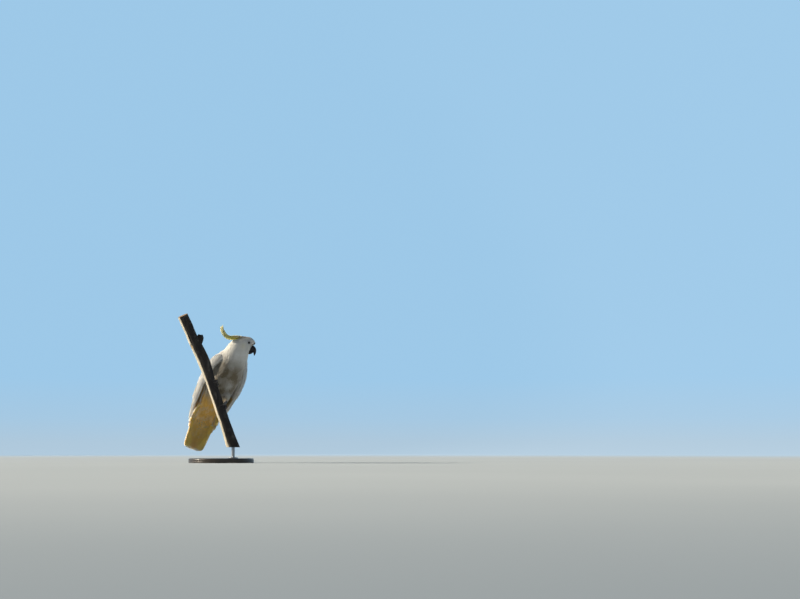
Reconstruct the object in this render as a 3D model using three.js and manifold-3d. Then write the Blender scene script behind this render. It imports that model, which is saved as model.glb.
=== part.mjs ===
// A sulphur-crested cockatoo, life size, on a cut length of branch, on a plain display stand.
// Millimetres, +Z up. The origin is the middle of the base's underside. The bird's belly faces -Y,
// its left side is towards +X, and its head is turned to its left.
import * as THREE from "three";
import { mergeVertices } from "three/addons/utils/BufferGeometryUtils.js";
import Module from "manifold-3d";

const wasm = await Module();
wasm.setup();

// ---- Driving dimensions ----

const GAP = 0.3; // space between pieces that touch
const WELD = 1e-4; // vertices nearer than this are one
const DEGREE = Math.PI / 180;

const BASE = { radius: 130, height: 18, edge: 3 };
const ROD = { radius: 7, flangeRadius: 19, flangeHeight: 4, x: 47, y: -8.5 };
const STAND_SIDES = 36;

// The middle line of the bird from the top of the neck to the tip of the tail.
const SPINE = [
  [78, -3, 475],
  [64, -3, 451],
  [44, 3, 411],
  [21.5, 13, 371],
  [-8, 31, 311],
  [-40, 52, 247],
  [-68, 70, 187],
  [-117, 102, 57],
];
const BODY_TURN = [[0, 12], [300, 12], [470, 4]]; // degrees the belly faces left of -Y, down the line
const BODY_SIDES = 24;
const BODY_STEPS = 18;

// Neck and trunk by distance down the middle line: half width, depth to the breast, depth to the back.
const TRUNK = {
  width: [[0, 40], [28, 49], [73, 59.5], [121, 66.5], [191, 64], [266, 54], [320, 45], [352, 37]],
  breast: [[0, 31], [28, 38], [73, 51], [121, 61], [191, 55], [266, 38], [320, 20], [352, 11]],
  back: [[0, 31], [28, 37], [73, 46], [121, 53], [191, 48], [266, 33], [320, 17], [352, 9]],
  end: 352,
};
const NECK_TOP = 22; // where the head is parted from the neck, down the middle line
const NECK_END = 74; // where the neck is parted from the trunk

// The head, from a point midway between the eyes.
const HEAD_AT = [98, 5, 481];
const HEAD_TURN = 20 * DEGREE; // past a full profile
const HEAD_SIDES = 20;
const HEAD_STEPS = 13;
const SKULL = {
  start: -56,
  end: 38.5,
  top: [[-56, 2], [-50, 9], [-38, 17], [-20, 23], [0, 26], [14, 24], [25, 17], [33, 8.5], [38.5, 0]],
  bottom: [
    [-56, -14],
    [-50, -30],
    [-38, -42],
    [-20, -48],
    [-5, -49],
    [3, -44],
    [9, -31],
    [16, -20],
    [26, -11],
    [38.5, -5],
  ],
  width: [[-56, 8], [-50, 20], [-38, 28], [-20, 29], [0, 26], [14, 23], [25, 18], [33, 12], [38.5, 4]],
};
const EYE = { radius: 5.6, out: 21, lidRadius: 6.6, lid: 1.5 };
const NOSTRIL = { radius: 1.6, ahead: 27, up: -10, out: 5.5 };

// The bill: the middle line of each half from its root to its tip, as [ahead, up], with its depth
// to the outer side, its depth to the other half's side, and its half width.
const UPPER_BILL = {
  above: true,
  line: [[-2, -20], [12, -20.5], [25, -23], [31, -30], [33, -39], [32, -50.5]],
  outer: [[0, 13], [0.3, 13.5], [0.5, 11.5], [0.7, 8], [0.87, 4.6], [1, 0.8]],
  inner: [[0, 13], [0.3, 12.5], [0.5, 9.5], [0.7, 6], [0.87, 3.4], [1, 0.8]],
  wide: [[0, 11], [0.3, 11], [0.55, 9.6], [0.75, 6.8], [0.9, 3.6], [1, 0.8]],
};
const LOWER_BILL = {
  above: false,
  line: [[-6, -35], [4, -37.5], [14, -37.5], [22, -34.5], [26, -31.5]],
  outer: [[0, 7.5], [0.4, 7.5], [0.7, 6.2], [0.9, 3.5], [1, 1.3]],
  inner: [[0, 7.5], [0.4, 7], [0.7, 5], [0.9, 3], [1, 1.3]],
  wide: [[0, 9.5], [0.4, 9.5], [0.7, 8.2], [0.9, 6], [1, 4]],
};
const MOUTH = 0.7; // the line between the two halves
const BILL_SIDES = 14;
const BILL_STEPS = 11;

// The crest's middle line behind the crown, as [ahead, up], and its feathers. Each lies beside the
// middle line, spread sideways and out from the curl, and ends part of the way along the line.
const CREST = {
  line: [
    [16, 21],
    [-8, 24],
    [-32, 22],
    [-56, 18],
    [-76, 17.5],
    [-94, 27],
    [-104, 43],
    [-107, 56],
    [-103, 66],
  ],
  feathers: 8,
  shortest: 0.74,
  width: 9,
  thick: 1.5,
  spread: 4,
  level: 2.3, // from one feather to the next, across the curl
  outermost: 8,
  fan: [[0.1, 0.1], [0.3, 0.45], [0.5, 1], [0.8, 1], [1, 0.7]], // how far the levels part, along the line
  core: { end: 0.34, width: 9, thick: 3.4 },
};

// A folded wing lies over the trunk's side. Along is measured from the wrist, across from the
// middle of the side (less than 0 is towards the belly).
const WING = {
  start: 66, // the wrist's distance down the middle line
  side: [[0, 65], [30, 79], [60, 88.5], [120, 93], [170, 88.5], [220, 79], [270, 66], [306, 57]],
  back: [[0, 44], [60, 60], [120, 58], [170, 47], [220, 36], [270, 27], [306, 22]],
  belly: [[-12, -6], [0, -28], [25, -42], [70, -46], [120, -44], [180, -36], [240, -18], [306, 14]],
  spineward: [[-12, 20], [0, 48], [30, 82], [80, 101], [130, 107], [180, 98], [230, 81], [270, 67],
    [306, 53]],
  core: { start: -10, end: 156, sink: 3.6, thick: [[-10, 3], [0, 12], [40, 20], [100, 24], [156, 14]] },
  rise: 5.6, // a covert's tip stands this far out from its root
  roll: 2, // the edge nearer the belly stands this far above the other
};

// The wing's tiers of small feathers from the wrist down: where each tier's tips lie along the
// wing, with the feathers' length and width.
const COVERTS = [
  { tips: 26, length: 36, width: 22 },
  { tips: 54, length: 42, width: 23 },
  { tips: 88, length: 50, width: 24 },
  { tips: 126, length: 60, width: 28 },
];
const COVERT_STEP = 0.92; // spacing of neighbours, in widths
const COVERT_THICK = 1;
const SECONDARIES = {
  count: 6,
  root: 106,
  inset: 0,
  tips: [198, 218],
  width: 24,
  thick: 1.1,
  sink: 6.5,
  out: 0,
};
const PRIMARIES = {
  count: 6,
  root: 128,
  inset: 10,
  tips: [232, 300],
  width: 21,
  thick: 1.3,
  sink: 10,
  out: -1.2,
};
const SCAPULARS = {
  count: 4,
  first: 10,
  step: 20,
  length: 48,
  width: 24,
  thick: 1.2,
  beyond: 4,
  shift: [-4, 3], // across, from the edge, at the root and the tip
  out: [-4.6, 2.8],
};

// The tail: flight feathers in pairs stacked from the middle pair, on top, to the outer pair.
const TAIL = {
  tip: 480,
  pairs: 6,
  root: 360,
  width: 34,
  thick: 1.1,
  level: 1.5, // from one feather of a side to the next
  inner: 16, // a feather's middle from the tail's middle line, at its tip
  spread: 2.2,
  shorter: 1.2,
  gather: 1.25, // the roots' share of the tips' distance from the middle line
  roof: 0.0025,
  coverBelow: 2, // the coverts under the tail stand this much further out
  // The root's fleshy part: distance down, half width, and depth to the back and to the belly.
  sleeve: [
    [326, 49, 18, 20.5],
    [354, 45, 12.5, 14.5],
    [374, 43, 8, 10.5],
    [400, 39, 4, 6],
  ],
};
const TAIL_COVERTS = [
  { tips: 386, count: 5, rise: 12.5, sink: 1.5 },
  { tips: 418, count: 4, rise: 9, sink: 4 },
];
const TAIL_COVERT = { length: 50, width: 23, thick: 1.2, step: 0.88, roll: 1.6 };

// Widths along a feather, as shares of its greatest, from its root to its tip.
const COVERT_OUTLINE = [[0, 0.6], [0.5, 1], [0.86, 0.82], [1, 0.34]];
const QUILL_OUTLINE = [[0, 0.45], [0.35, 0.85], [0.72, 1], [0.93, 0.72], [1, 0.26]];
const TAIL_OUTLINE = [[0, 0.8], [0.35, 0.96], [0.7, 1], [0.94, 0.9], [1, 0.5]];
const CREST_OUTLINE = [[0, 0.5], [0.2, 0.8], [0.4, 0.95], [0.6, 1], [0.75, 0.95], [0.88, 0.75], [1, 0.2]];

// The legs: a thigh from inside the trunk to the ankle, then a foot on the branch. The palm's turn
// is from the branch's right side towards its back.
const LEGS = {
  left: { hip: [10, 24, 286], ankle: [17, -16, 245], palmTurn: 45, palmZ: 221 },
  right: { hip: [-22, 0, 345], ankle: [-18, -40, 318], palmTurn: 62, palmZ: 310 },
};
const THIGH = { top: 26, middle: 23, ankle: 10, sides: 12, steps: 6 };
const SHANK = { radius: 6.4, palm: 8, sides: 10 };

// The branch: the middle line and radius from its lower to its upper saw cut.
const BRANCH = {
  line: [
    [50, -7, 52],
    [17.5, -28, 147],
    [-11, -45, 227],
    [-39, -63, 305],
    [-76, -86, 407],
    [-117, -104, 491],
    [-157, -123, 579],
  ],
  radius: [[0, 26], [0.16, 21], [0.33, 20.5], [0.5, 19.5], [0.68, 23.5], [0.84, 20.5], [1, 20]],
  foot: 62, // the height of the level cut at its lower end
  sides: 14,
  steps: 18,
};
const STUB = { line: [[-108, -98, 455], [-91, -96, 482], [-86, -94, 507]], radius: 15, end: 13, sides: 12 };

// The toes, two round each side of the branch: how far round in degrees, and how far up the branch.
const TOES = { radius: 5, tip: 3.6, clawReach: 0.33, clawRadius: 2.8, clawTip: 0.5, sides: 6, steps: 5 };
const TOE_SET = [
  { name: 1, way: -1, reach: 95, rise: 8 },
  { name: 2, way: -1, reach: 82, rise: -9 },
  { name: 3, way: 1, reach: 88, rise: 9 },
  { name: 4, way: 1, reach: 70, rise: -8 },
];

// ---- Small helpers ----

const point = ([x, y, z]) => new THREE.Vector3(x, y, z);

// The value at x on a smooth curve through [x, value] pairs, level past either end.
function smooth(pairs, x) {
  const last = pairs.length - 1;
  if (x <= pairs[0][0]) return pairs[0][1];
  if (x >= pairs[last][0]) return pairs[last][1];
  const i = pairs.findIndex((pair) => pair[0] > x) - 1;
  const slope = (k) => {
    const a = pairs[Math.max(k - 1, 0)];
    const b = pairs[Math.min(k + 1, last)];
    return (b[1] - a[1]) / (b[0] - a[0]);
  };
  const [x0, y0] = pairs[i];
  const [x1, y1] = pairs[i + 1];
  const span = x1 - x0;
  const t = (x - x0) / span;
  const s = 1 - t;
  return (
    y0 * s * s * (1 + 2 * t) + y1 * t * t * (3 - 2 * t) +
    slope(i) * span * t * s * s - slope(i + 1) * span * t * t * s
  );
}

// A manifold-3d solid from a closed geometry, turned to face out.
function solidOf(geometry) {
  const bare = geometry.clone();
  bare.deleteAttribute("normal");
  bare.deleteAttribute("uv");
  const merged = mergeVertices(bare, WELD);
  const vertProperties = new Float32Array(merged.attributes.position.array);
  const triVerts = new Uint32Array(merged.index.array);
  const build = () => new wasm.Manifold(new wasm.Mesh({ numProp: 3, vertProperties, triVerts }));
  const made = build();
  if (made.volume() > 0) return made;
  for (let i = 0; i < triVerts.length; i += 3) {
    [triVerts[i + 1], triVerts[i + 2]] = [triVerts[i + 2], triVerts[i + 1]];
  }
  return build();
}

// The largest closed body of a solid, which drops loose scraps and sealed hollows.
function largest(made) {
  const bodies = made.decompose();
  return bodies.reduce((a, b) => (b.volume() > a.volume() ? b : a));
}

// A closed skin over rings of equal count, with a point in the middle of each end.
function skinOver(rings) {
  const count = rings[0].length;
  const points = rings.flat();
  const faces = [];
  for (let i = 0; i + 1 < rings.length; i++) {
    for (let j = 0; j < count; j++) {
      const a = i * count + j;
      const b = i * count + ((j + 1) % count);
      faces.push(a, b, b + count, a, b + count, a + count);
    }
  }
  const cap = (ring, offset, flip) => {
    const middle = new THREE.Vector3();
    ring.forEach((p) => middle.addScaledVector(p, 1 / count));
    const centre = points.push(middle) - 1;
    for (let j = 0; j < count; j++) {
      const a = offset + j;
      const b = offset + ((j + 1) % count);
      faces.push(...(flip ? [centre, b, a] : [centre, a, b]));
    }
  };
  cap(rings[0], 0, true);
  cap(rings[rings.length - 1], (rings.length - 1) * count, false);
  const geometry = new THREE.BufferGeometry().setFromPoints(points);
  geometry.setIndex(faces);
  return solidOf(geometry);
}

// A closed slab between two grids of points of one size, split into triangles alike on both faces.
function slabBetween(outer, inner) {
  const last = outer[0].length - 1;
  const end = outer.length - 1;
  const half = outer.length * outer[0].length;
  const at = (i, j) => i * (last + 1) + j;
  const under = (i, j) => half + at(i, j);
  const faces = [];
  const quad = (a, b, c, d) => faces.push(a, b, c, a, c, d);
  for (let i = 0; i < end; i++) {
    for (let j = 0; j < last; j++) {
      quad(at(i, j), at(i, j + 1), at(i + 1, j + 1), at(i + 1, j));
      quad(under(i, j), under(i + 1, j), under(i + 1, j + 1), under(i, j + 1));
    }
    quad(at(i, 0), at(i + 1, 0), under(i + 1, 0), under(i, 0));
    quad(under(i, last), under(i + 1, last), at(i + 1, last), at(i, last));
  }
  for (let j = 0; j < last; j++) {
    quad(under(0, j), under(0, j + 1), at(0, j + 1), at(0, j));
    quad(at(end, j), at(end, j + 1), under(end, j + 1), under(end, j));
  }
  const geometry = new THREE.BufferGeometry().setFromPoints([...outer.flat(), ...inner.flat()]);
  geometry.setIndex(faces);
  return solidOf(geometry);
}

const between = (a, b, share) => a + (b - a) * share;

// A feather's vane on a surface, where place(along, across, out) gives the surface's points. The
// root and tip are [along, across, out]. The roll lifts the edge of lesser across.
function vane(place, { root, tip, width, thick, outline, columns = 1, roll = 0 }) {
  const outer = [];
  const inner = [];
  for (const [u, share] of outline) {
    const [along, across, out] = root.map((value, i) => between(value, tip[i], u));
    const columnsAt = Array.from({ length: columns + 1 }, (_, j) => (2 * j) / columns - 1);
    const heightAt = (side) => out - (roll / 2) * side * share;
    const acrossAt = (side) => across + (side * share * width) / 2;
    outer.push(columnsAt.map((side) => place(along, acrossAt(side), heightAt(side))));
    inner.push(columnsAt.map((side) => place(along, acrossAt(side), heightAt(side) - thick)));
  }
  return slabBetween(outer, inner);
}

// Random numbers from -1 to 1, the same at every run.
function seeded(seed) {
  let state = seed;
  return () => {
    state = (state * 1664525 + 1013904223) % 4294967296;
    return (state / 4294967296) * 2 - 1;
  };
}

// A ring of points round a centre, in the plane of two unit vectors, with its own depth on each side.
function ring(centre, across, up, halfWidth, halfUp, halfDown, sides) {
  return Array.from({ length: sides }, (_, i) => {
    const angle = (2 * Math.PI * i) / sides;
    const rise = Math.sin(angle);
    return centre
      .clone()
      .addScaledVector(across, halfWidth * Math.cos(angle))
      .addScaledVector(up, rise * (rise > 0 ? halfUp : halfDown));
  });
}

// A round tube of changing radius along points, closed at both ends and grown on every side.
function taperedTube(points, radiusAt, sides, steps, grow = 0) {
  const path = new THREE.CatmullRomCurve3(points);
  const frames = path.computeFrenetFrames(steps, false);
  const rings = [];
  for (let i = 0; i <= steps; i++) {
    const u = i / steps;
    const r = radiusAt(u) + grow;
    const at = path.getPointAt(u).addScaledVector(frames.tangents[i], grow * (2 * u - 1));
    rings.push(ring(at, frames.normals[i], frames.binormals[i], r, r, r, sides));
  }
  return skinOver(rings);
}

// A slab that is everything on one side of a plane, far larger than the bird.
function halfSpace(origin, normal) {
  const side = 2000;
  const box = new THREE.BoxGeometry(side, side, side);
  const turn = new THREE.Quaternion().setFromUnitVectors(new THREE.Vector3(0, 0, 1), normal);
  box.applyQuaternion(turn);
  const middle = origin.clone().addScaledVector(normal, side / 2);
  box.translate(middle.x, middle.y, middle.z);
  return solidOf(box);
}

// ---- The bird's own frames ----

const spine = new THREE.CatmullRomCurve3(SPINE.map(point));
const SPINE_LENGTH = spine.getLength();

// Where the middle line is at a distance down it, with the directions down, left and to the back.
function spineAt(down) {
  const u = Math.min(Math.max(down / SPINE_LENGTH, 0), 1);
  const at = spine.getPointAt(u);
  const tailward = spine.getTangentAt(u);
  at.addScaledVector(tailward, down - u * SPINE_LENGTH);
  const turn = smooth(BODY_TURN, down) * DEGREE;
  const left = new THREE.Vector3(Math.cos(turn), Math.sin(turn), 0);
  left.addScaledVector(tailward, -left.dot(tailward)).normalize();
  const back = left.clone().cross(tailward).normalize();
  return { at, tailward, left, back };
}

const AHEAD = new THREE.Vector3(Math.cos(HEAD_TURN), Math.sin(HEAD_TURN), 0);
const UP = new THREE.Vector3(0, 0, 1);
const HEAD_LEFT = UP.clone().cross(AHEAD);

// A place on the head: ahead of the eyes, above them, and out to the bird's left.
function headAt(ahead, up, out) {
  return point(HEAD_AT)
    .addScaledVector(AHEAD, ahead)
    .addScaledVector(UP, up)
    .addScaledVector(HEAD_LEFT, out);
}

// ---- Flesh: trunk, neck and head, made whole and parted with thin cuts ----

function trunkLoft(grow) {
  const rings = [];
  for (let i = 0; i <= BODY_STEPS; i++) {
    const down = (TRUNK.end * i) / BODY_STEPS;
    const { at, tailward, left, back } = spineAt(down);
    at.addScaledVector(tailward, grow * ((2 * i) / BODY_STEPS - 1));
    const size = (pairs) => smooth(pairs, down) + grow;
    rings.push(ring(at, left, back, size(TRUNK.width), size(TRUNK.back), size(TRUNK.breast), BODY_SIDES));
  }
  return skinOver(rings);
}

function skullLoft(grow) {
  const rings = [];
  for (let i = 0; i <= HEAD_STEPS; i++) {
    const share = (1 - Math.cos((Math.PI * i) / HEAD_STEPS)) / 2;
    const ahead = SKULL.start + (SKULL.end - SKULL.start) * share;
    const top = smooth(SKULL.top, ahead) + grow;
    const bottom = smooth(SKULL.bottom, ahead) - grow;
    const middle = headAt(ahead + grow * (2 * share - 1), (top + bottom) / 2, 0);
    const halfUp = (top - bottom) / 2;
    rings.push(ring(middle, HEAD_LEFT, UP, smooth(SKULL.width, ahead) + grow, halfUp, halfUp, HEAD_SIDES));
  }
  return skinOver(rings);
}

const fleshGrownBy = (grow) => trunkLoft(grow).add(skullLoft(grow));
const flesh = fleshGrownBy(0);
const clearOfFlesh = fleshGrownBy(GAP);

// The flesh between two distances down the middle line, or from one to the end of the bird.
function parted(from, to) {
  let piece = flesh;
  if (from !== null) {
    const { at, tailward } = spineAt(from + GAP / 2);
    piece = piece.intersect(halfSpace(at, tailward));
  }
  if (to !== null) {
    const { at, tailward } = spineAt(to - GAP / 2);
    piece = piece.intersect(halfSpace(at, tailward.clone().negate()));
  }
  return largest(piece);
}

function sphere(centre, radius, wide, high) {
  const ball = new THREE.SphereGeometry(radius, wide, high);
  ball.translate(centre.x, centre.y, centre.z);
  return solidOf(ball);
}

// A ring of bare skin round each eye, the lids.
function lids(sign) {
  const torus = new THREE.TorusGeometry(EYE.lidRadius, EYE.lid, 5, 16);
  const out = HEAD_LEFT.clone().multiplyScalar(sign);
  torus.applyQuaternion(new THREE.Quaternion().setFromUnitVectors(UP, out));
  const at = headAt(0, 0, sign * (EYE.out + 3.2));
  torus.translate(at.x, at.y, at.z);
  return solidOf(torus);
}

function headSolid() {
  let head = parted(null, NECK_TOP);
  for (const sign of [1, -1]) {
    head = head.add(lids(sign));
    head = head.subtract(sphere(headAt(0, 0, sign * EYE.out), EYE.radius + GAP, 12, 8));
  }
  return largest(head);
}

// ---- Bill, eyes and crest ----

function billLoft(bill, grow) {
  const path = new THREE.CatmullRomCurve3(bill.line.map(([ahead, up]) => headAt(ahead, up, 0)));
  const rings = [];
  for (let i = 0; i <= BILL_STEPS; i++) {
    const u = i / BILL_STEPS;
    const along = path.getTangentAt(u);
    const up = along.clone().cross(HEAD_LEFT).normalize();
    const at = path.getPointAt(u).addScaledVector(along, grow * (2 * u - 1));
    const [wide, outer, inner] = [bill.wide, bill.outer, bill.inner].map((size) => smooth(size, u) + grow);
    const [upward, downward] = bill.above ? [outer, inner] : [inner, outer];
    rings.push(ring(at, HEAD_LEFT, up, wide, upward, downward, BILL_SIDES));
  }
  return skinOver(rings);
}

const headGrown = skullLoft(GAP).add(trunkLoft(GAP));

function upperBillSolid() {
  let bill = billLoft(UPPER_BILL, 0).subtract(headGrown);
  for (const sign of [1, -1]) {
    const at = headAt(NOSTRIL.ahead, NOSTRIL.up, sign * NOSTRIL.out);
    bill = bill.subtract(sphere(at, NOSTRIL.radius, 8, 6));
  }
  return largest(bill);
}

function lowerBillSolid() {
  return largest(billLoft(LOWER_BILL, 0).subtract(headGrown).subtract(billLoft(UPPER_BILL, MOUTH)));
}

const eyeSolid = (sign) => sphere(headAt(0, 0, sign * EYE.out), EYE.radius, 12, 8);

const crestPath = new THREE.CatmullRomCurve3(CREST.line.map(([ahead, up]) => headAt(ahead, up, 0)));

// A place on the crest: along its middle line as a share, to the bird's left, and out from the curl.
function crestAt(along, left, out) {
  const outward = crestPath.getTangentAt(along).cross(HEAD_LEFT).normalize();
  return crestPath.getPointAt(along).addScaledVector(HEAD_LEFT, left).addScaledVector(outward, out);
}

function crestSolid() {
  const { core } = CREST;
  const rings = [];
  for (let i = 0; i <= 6; i++) {
    const along = (core.end * i) / 6;
    const size = Math.sin(Math.PI * (0.12 + 0.76 * (i / 6)));
    const middle = crestAt(along, 0, 0);
    const outward = crestAt(along, 0, 1).sub(middle);
    const thick = core.thick * size;
    rings.push(ring(middle, HEAD_LEFT, outward, core.width * size, thick, thick, 10));
  }
  const pieces = [skinOver(rings)];
  const draw = seeded(5);
  for (let i = 0; i < CREST.feathers; i++) {
    const share = i / (CREST.feathers - 1);
    const reach = 1 - (1 - CREST.shortest) * share;
    const side = (i % 2 ? 1 : -1) * CREST.spread * (0.3 + 0.7 * share);
    const level = CREST.outermost - CREST.level * i;
    const place = (along, left, out) => crestAt(along, left, out + level * smooth(CREST.fan, along));
    const shape = {
      root: [0.2 - 0.14 * share, side * 0.5, 0],
      tip: [reach, side * (1 + 0.2 * draw()), 0],
      width: CREST.width,
      thick: CREST.thick,
      outline: CREST_OUTLINE,
    };
    pieces.push(vane(place, shape));
  }
  return largest(wasm.Manifold.union(pieces).subtract(headGrown));
}

// ---- Wings and tail ----

// A place on a folded wing: along from the wrist, across towards the back, and out from its face.
function wingAt(sign, along, across, out) {
  const { at, left, back } = spineAt(WING.start + along);
  const side = smooth(WING.side, along);
  const depth = smooth(WING.back, along);
  const turn = (2 * across) / (side + depth);
  return at
    .addScaledVector(left, sign * (side + out) * Math.cos(turn))
    .addScaledVector(back, (depth + out) * Math.sin(turn));
}

// The wing's fleshy part: a slab under the feathers, thickest in the middle.
function wingCore(sign) {
  const { core } = WING;
  const steps = 7;
  const columns = 4;
  const outer = [];
  const inner = [];
  for (let i = 0; i <= steps; i++) {
    const along = between(core.start, core.end, i / steps);
    const low = smooth(WING.belly, along) + 2;
    const high = smooth(WING.spineward, along) - 2;
    const thick = smooth(core.thick, along);
    const shares = Array.from({ length: columns + 1 }, (_, j) => j / columns);
    const full = (share) => Math.sqrt(Math.max(0, 1 - (2 * share - 1) ** 4));
    const top = (share) => -core.sink - 1.5 * (1 - full(share));
    outer.push(shares.map((share) => wingAt(sign, along, between(low, high, share), top(share))));
    const bottom = (share) => top(share) - 1 - thick * full(share);
    inner.push(shares.map((share) => wingAt(sign, along, between(low, high, share), bottom(share))));
  }
  return slabBetween(outer, inner);
}

// One tier of coverts, its neighbours side by side from the belly's edge to the back's.
function covertTier(place, tier, shift, draw) {
  const low = smooth(WING.belly, tier.tips) + tier.width * 0.3;
  const high = smooth(WING.spineward, tier.tips) - tier.width * 0.3;
  const count = Math.round((high - low) / (tier.width * COVERT_STEP));
  const vanes = [];
  for (let i = 0; i + shift <= count; i++) {
    const across = between(low, high, (i + shift) / count);
    const tips = tier.tips + draw();
    const shape = {
      root: [tips - tier.length, across * 0.97, -WING.rise],
      tip: [tips, across + 0.6 * draw(), 0],
      width: tier.width,
      thick: COVERT_THICK,
      outline: COVERT_OUTLINE,
      roll: WING.roll,
    };
    vanes.push(vane(place, shape));
  }
  return vanes;
}

// Flight feathers side by side, the first nearest the back and the last nearest the belly.
function quills(place, set, draw) {
  return Array.from({ length: set.count }, (_, i) => {
    const share = i / (set.count - 1);
    const tips = between(set.tips[0], set.tips[1], share) + draw();
    const half = set.width / 2;
    const acrossAt = (along, inset) =>
      between(smooth(WING.spineward, along) - inset, smooth(WING.belly, along) + inset, share);
    const shape = {
      root: [set.root, acrossAt(set.root, half + set.inset), -set.sink],
      tip: [tips, acrossAt(tips, half), set.out],
      width: set.width,
      thick: set.thick,
      outline: QUILL_OUTLINE,
      columns: 2,
      roll: WING.roll,
    };
    return vane(place, shape);
  });
}

function scapulars(place, draw) {
  return Array.from({ length: SCAPULARS.count }, (_, i) => {
    const start = SCAPULARS.first + SCAPULARS.step * i;
    const edge = (along) => smooth(WING.spineward, along) + SCAPULARS.beyond - SCAPULARS.width / 2;
    const tips = start + SCAPULARS.length + 2 * draw();
    const shape = {
      root: [start, edge(start) + SCAPULARS.shift[0], SCAPULARS.out[0]],
      tip: [tips, edge(tips) + SCAPULARS.shift[1], SCAPULARS.out[1]],
      width: SCAPULARS.width,
      thick: SCAPULARS.thick,
      outline: COVERT_OUTLINE,
      roll: WING.roll,
    };
    return vane(place, shape);
  });
}

function wingSolid(sign) {
  const place = (along, across, out) => wingAt(sign, along, across, out);
  const draw = seeded(sign > 0 ? 11 : 23);
  const pieces = [wingCore(sign)];
  COVERTS.forEach((tier, i) => pieces.push(...covertTier(place, tier, i % 2 ? 0.5 : 0, draw)));
  pieces.push(...quills(place, SECONDARIES, draw));
  pieces.push(...quills(place, PRIMARIES, draw));
  pieces.push(...scapulars(place, draw));
  return largest(wasm.Manifold.union(pieces).subtract(clearOfFlesh));
}

// A place on the tail: down the middle line, to the left, and out from its face towards the back.
function tailAt(down, side, out) {
  const { at, left, back } = spineAt(down);
  return at.addScaledVector(left, side).addScaledVector(back, out - TAIL.roof * side * side);
}

function tailSolid() {
  const sleeve = TAIL.sleeve.map(([down, wide, toBack, toBelly]) => {
    const { at, left, back } = spineAt(down);
    return ring(at, left, back, wide, toBack, toBelly, 16);
  });
  const pieces = [skinOver(sleeve)];
  for (const sign of [1, -1]) {
    for (let pair = 0; pair < TAIL.pairs; pair++) {
      const onTop = pair === 0 && sign > 0 ? TAIL.level : 0;
      const level = onTop - TAIL.level * (pair - 1.5);
      const side = pair === 0 ? 8 : TAIL.inner + TAIL.spread * (pair - 1);
      const shape = {
        root: [TAIL.root, sign * side * TAIL.gather, level],
        tip: [TAIL.tip - TAIL.shorter * pair, sign * side, level],
        width: TAIL.width,
        thick: TAIL.thick,
        outline: TAIL_OUTLINE,
      };
      pieces.push(vane(tailAt, shape));
    }
  }
  const draw = seeded(31);
  for (const face of [1, -1]) {
    const place = (down, side, out) => tailAt(down, side, face * out);
    for (const tier of TAIL_COVERTS) {
      for (let i = 0; i < tier.count; i++) {
        const side = TAIL_COVERT.width * TAIL_COVERT.step * (i - (tier.count - 1) / 2);
        const tips = tier.tips - Math.abs(side) * 0.25 + draw();
        const reach = tier.rise + (face < 0 ? TAIL.coverBelow : 0);
        const shape = {
          root: [tips - TAIL_COVERT.length, side * 0.8, reach - tier.sink],
          tip: [tips, side, reach],
          width: TAIL_COVERT.width,
          thick: TAIL_COVERT.thick,
          outline: COVERT_OUTLINE,
          roll: TAIL_COVERT.roll,
        };
        pieces.push(vane(place, shape));
      }
    }
  }
  return largest(wasm.Manifold.union(pieces).subtract(clearOfFlesh));
}

// ---- Perch, legs and feet ----

const branchPath = new THREE.CatmullRomCurve3(BRANCH.line.map(point));

// The branch's middle part of the way up, with its way up and the directions right and back.
function branchFrame(t) {
  const at = branchPath.getPoint(t);
  const up = branchPath.getTangent(t);
  const right = new THREE.Vector3(1, 0, 0).addScaledVector(up, -up.x).normalize();
  const back = up.clone().cross(right).normalize();
  return { at, up, right, back, radius: smooth(BRANCH.radius, t) };
}

function branchAt(height) {
  let low = 0;
  let high = 1;
  for (let i = 0; i < 40; i++) {
    const middle = (low + high) / 2;
    if (branchPath.getPoint(middle).z < height) low = middle;
    else high = middle;
  }
  return branchFrame(low);
}

// A place round the branch: at a height along it, turned from its right towards its back.
function roundBranch(height, turn, out) {
  const { at, right, back, radius } = branchAt(height);
  return at
    .addScaledVector(right, (radius + out) * Math.cos(turn))
    .addScaledVector(back, (radius + out) * Math.sin(turn));
}

function branchSolid(grow) {
  const rings = [];
  for (let i = 0; i <= BRANCH.steps; i++) {
    const t = i / BRANCH.steps;
    const { at, up, right, back, radius } = branchFrame(t);
    at.addScaledVector(up, grow * (2 * t - 1));
    rings.push(ring(at, right, back, radius + grow, radius + grow, radius + grow, BRANCH.sides));
  }
  const stubRadius = (u) => STUB.radius + (STUB.end - STUB.radius) * u;
  const stub = taperedTube(STUB.line.map(point), stubRadius, STUB.sides, 3, grow);
  const footCut = halfSpace(point([0, 0, BRANCH.foot - grow]), UP);
  return skinOver(rings).add(stub).intersect(footCut);
}

const clearOfBranch = branchSolid(GAP);

function toePath(leg, toe, from, to) {
  const points = [];
  for (let i = 0; i <= 5; i++) {
    const share = from + ((to - from) * i) / 5;
    const turn = (leg.palmTurn + toe.way * toe.reach * share) * DEGREE;
    const height = leg.palmZ + toe.rise * Math.min(1, share * 2);
    const dip = Math.max(0, share - 1) / TOES.clawReach;
    points.push(roundBranch(height, turn, (TOES.radius - 1) * (1 - dip)));
  }
  return points;
}

function footSolid(leg, grow) {
  const ankle = point(leg.ankle);
  const palm = roundBranch(leg.palmZ, leg.palmTurn * DEGREE, TOES.radius);
  const shank = [ankle, ankle.clone().lerp(palm, 0.5), palm];
  let foot = taperedTube(shank, () => SHANK.radius, SHANK.sides, 4, grow);
  foot = foot.add(sphere(palm, SHANK.palm + grow, 10, 6));
  for (const toe of TOE_SET) {
    const radius = (u) => TOES.radius + (TOES.tip - TOES.radius) * u;
    foot = foot.add(taperedTube(toePath(leg, toe, 0, 1), radius, TOES.sides, TOES.steps, grow));
  }
  return largest(foot.subtract(clearOfBranch));
}

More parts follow.
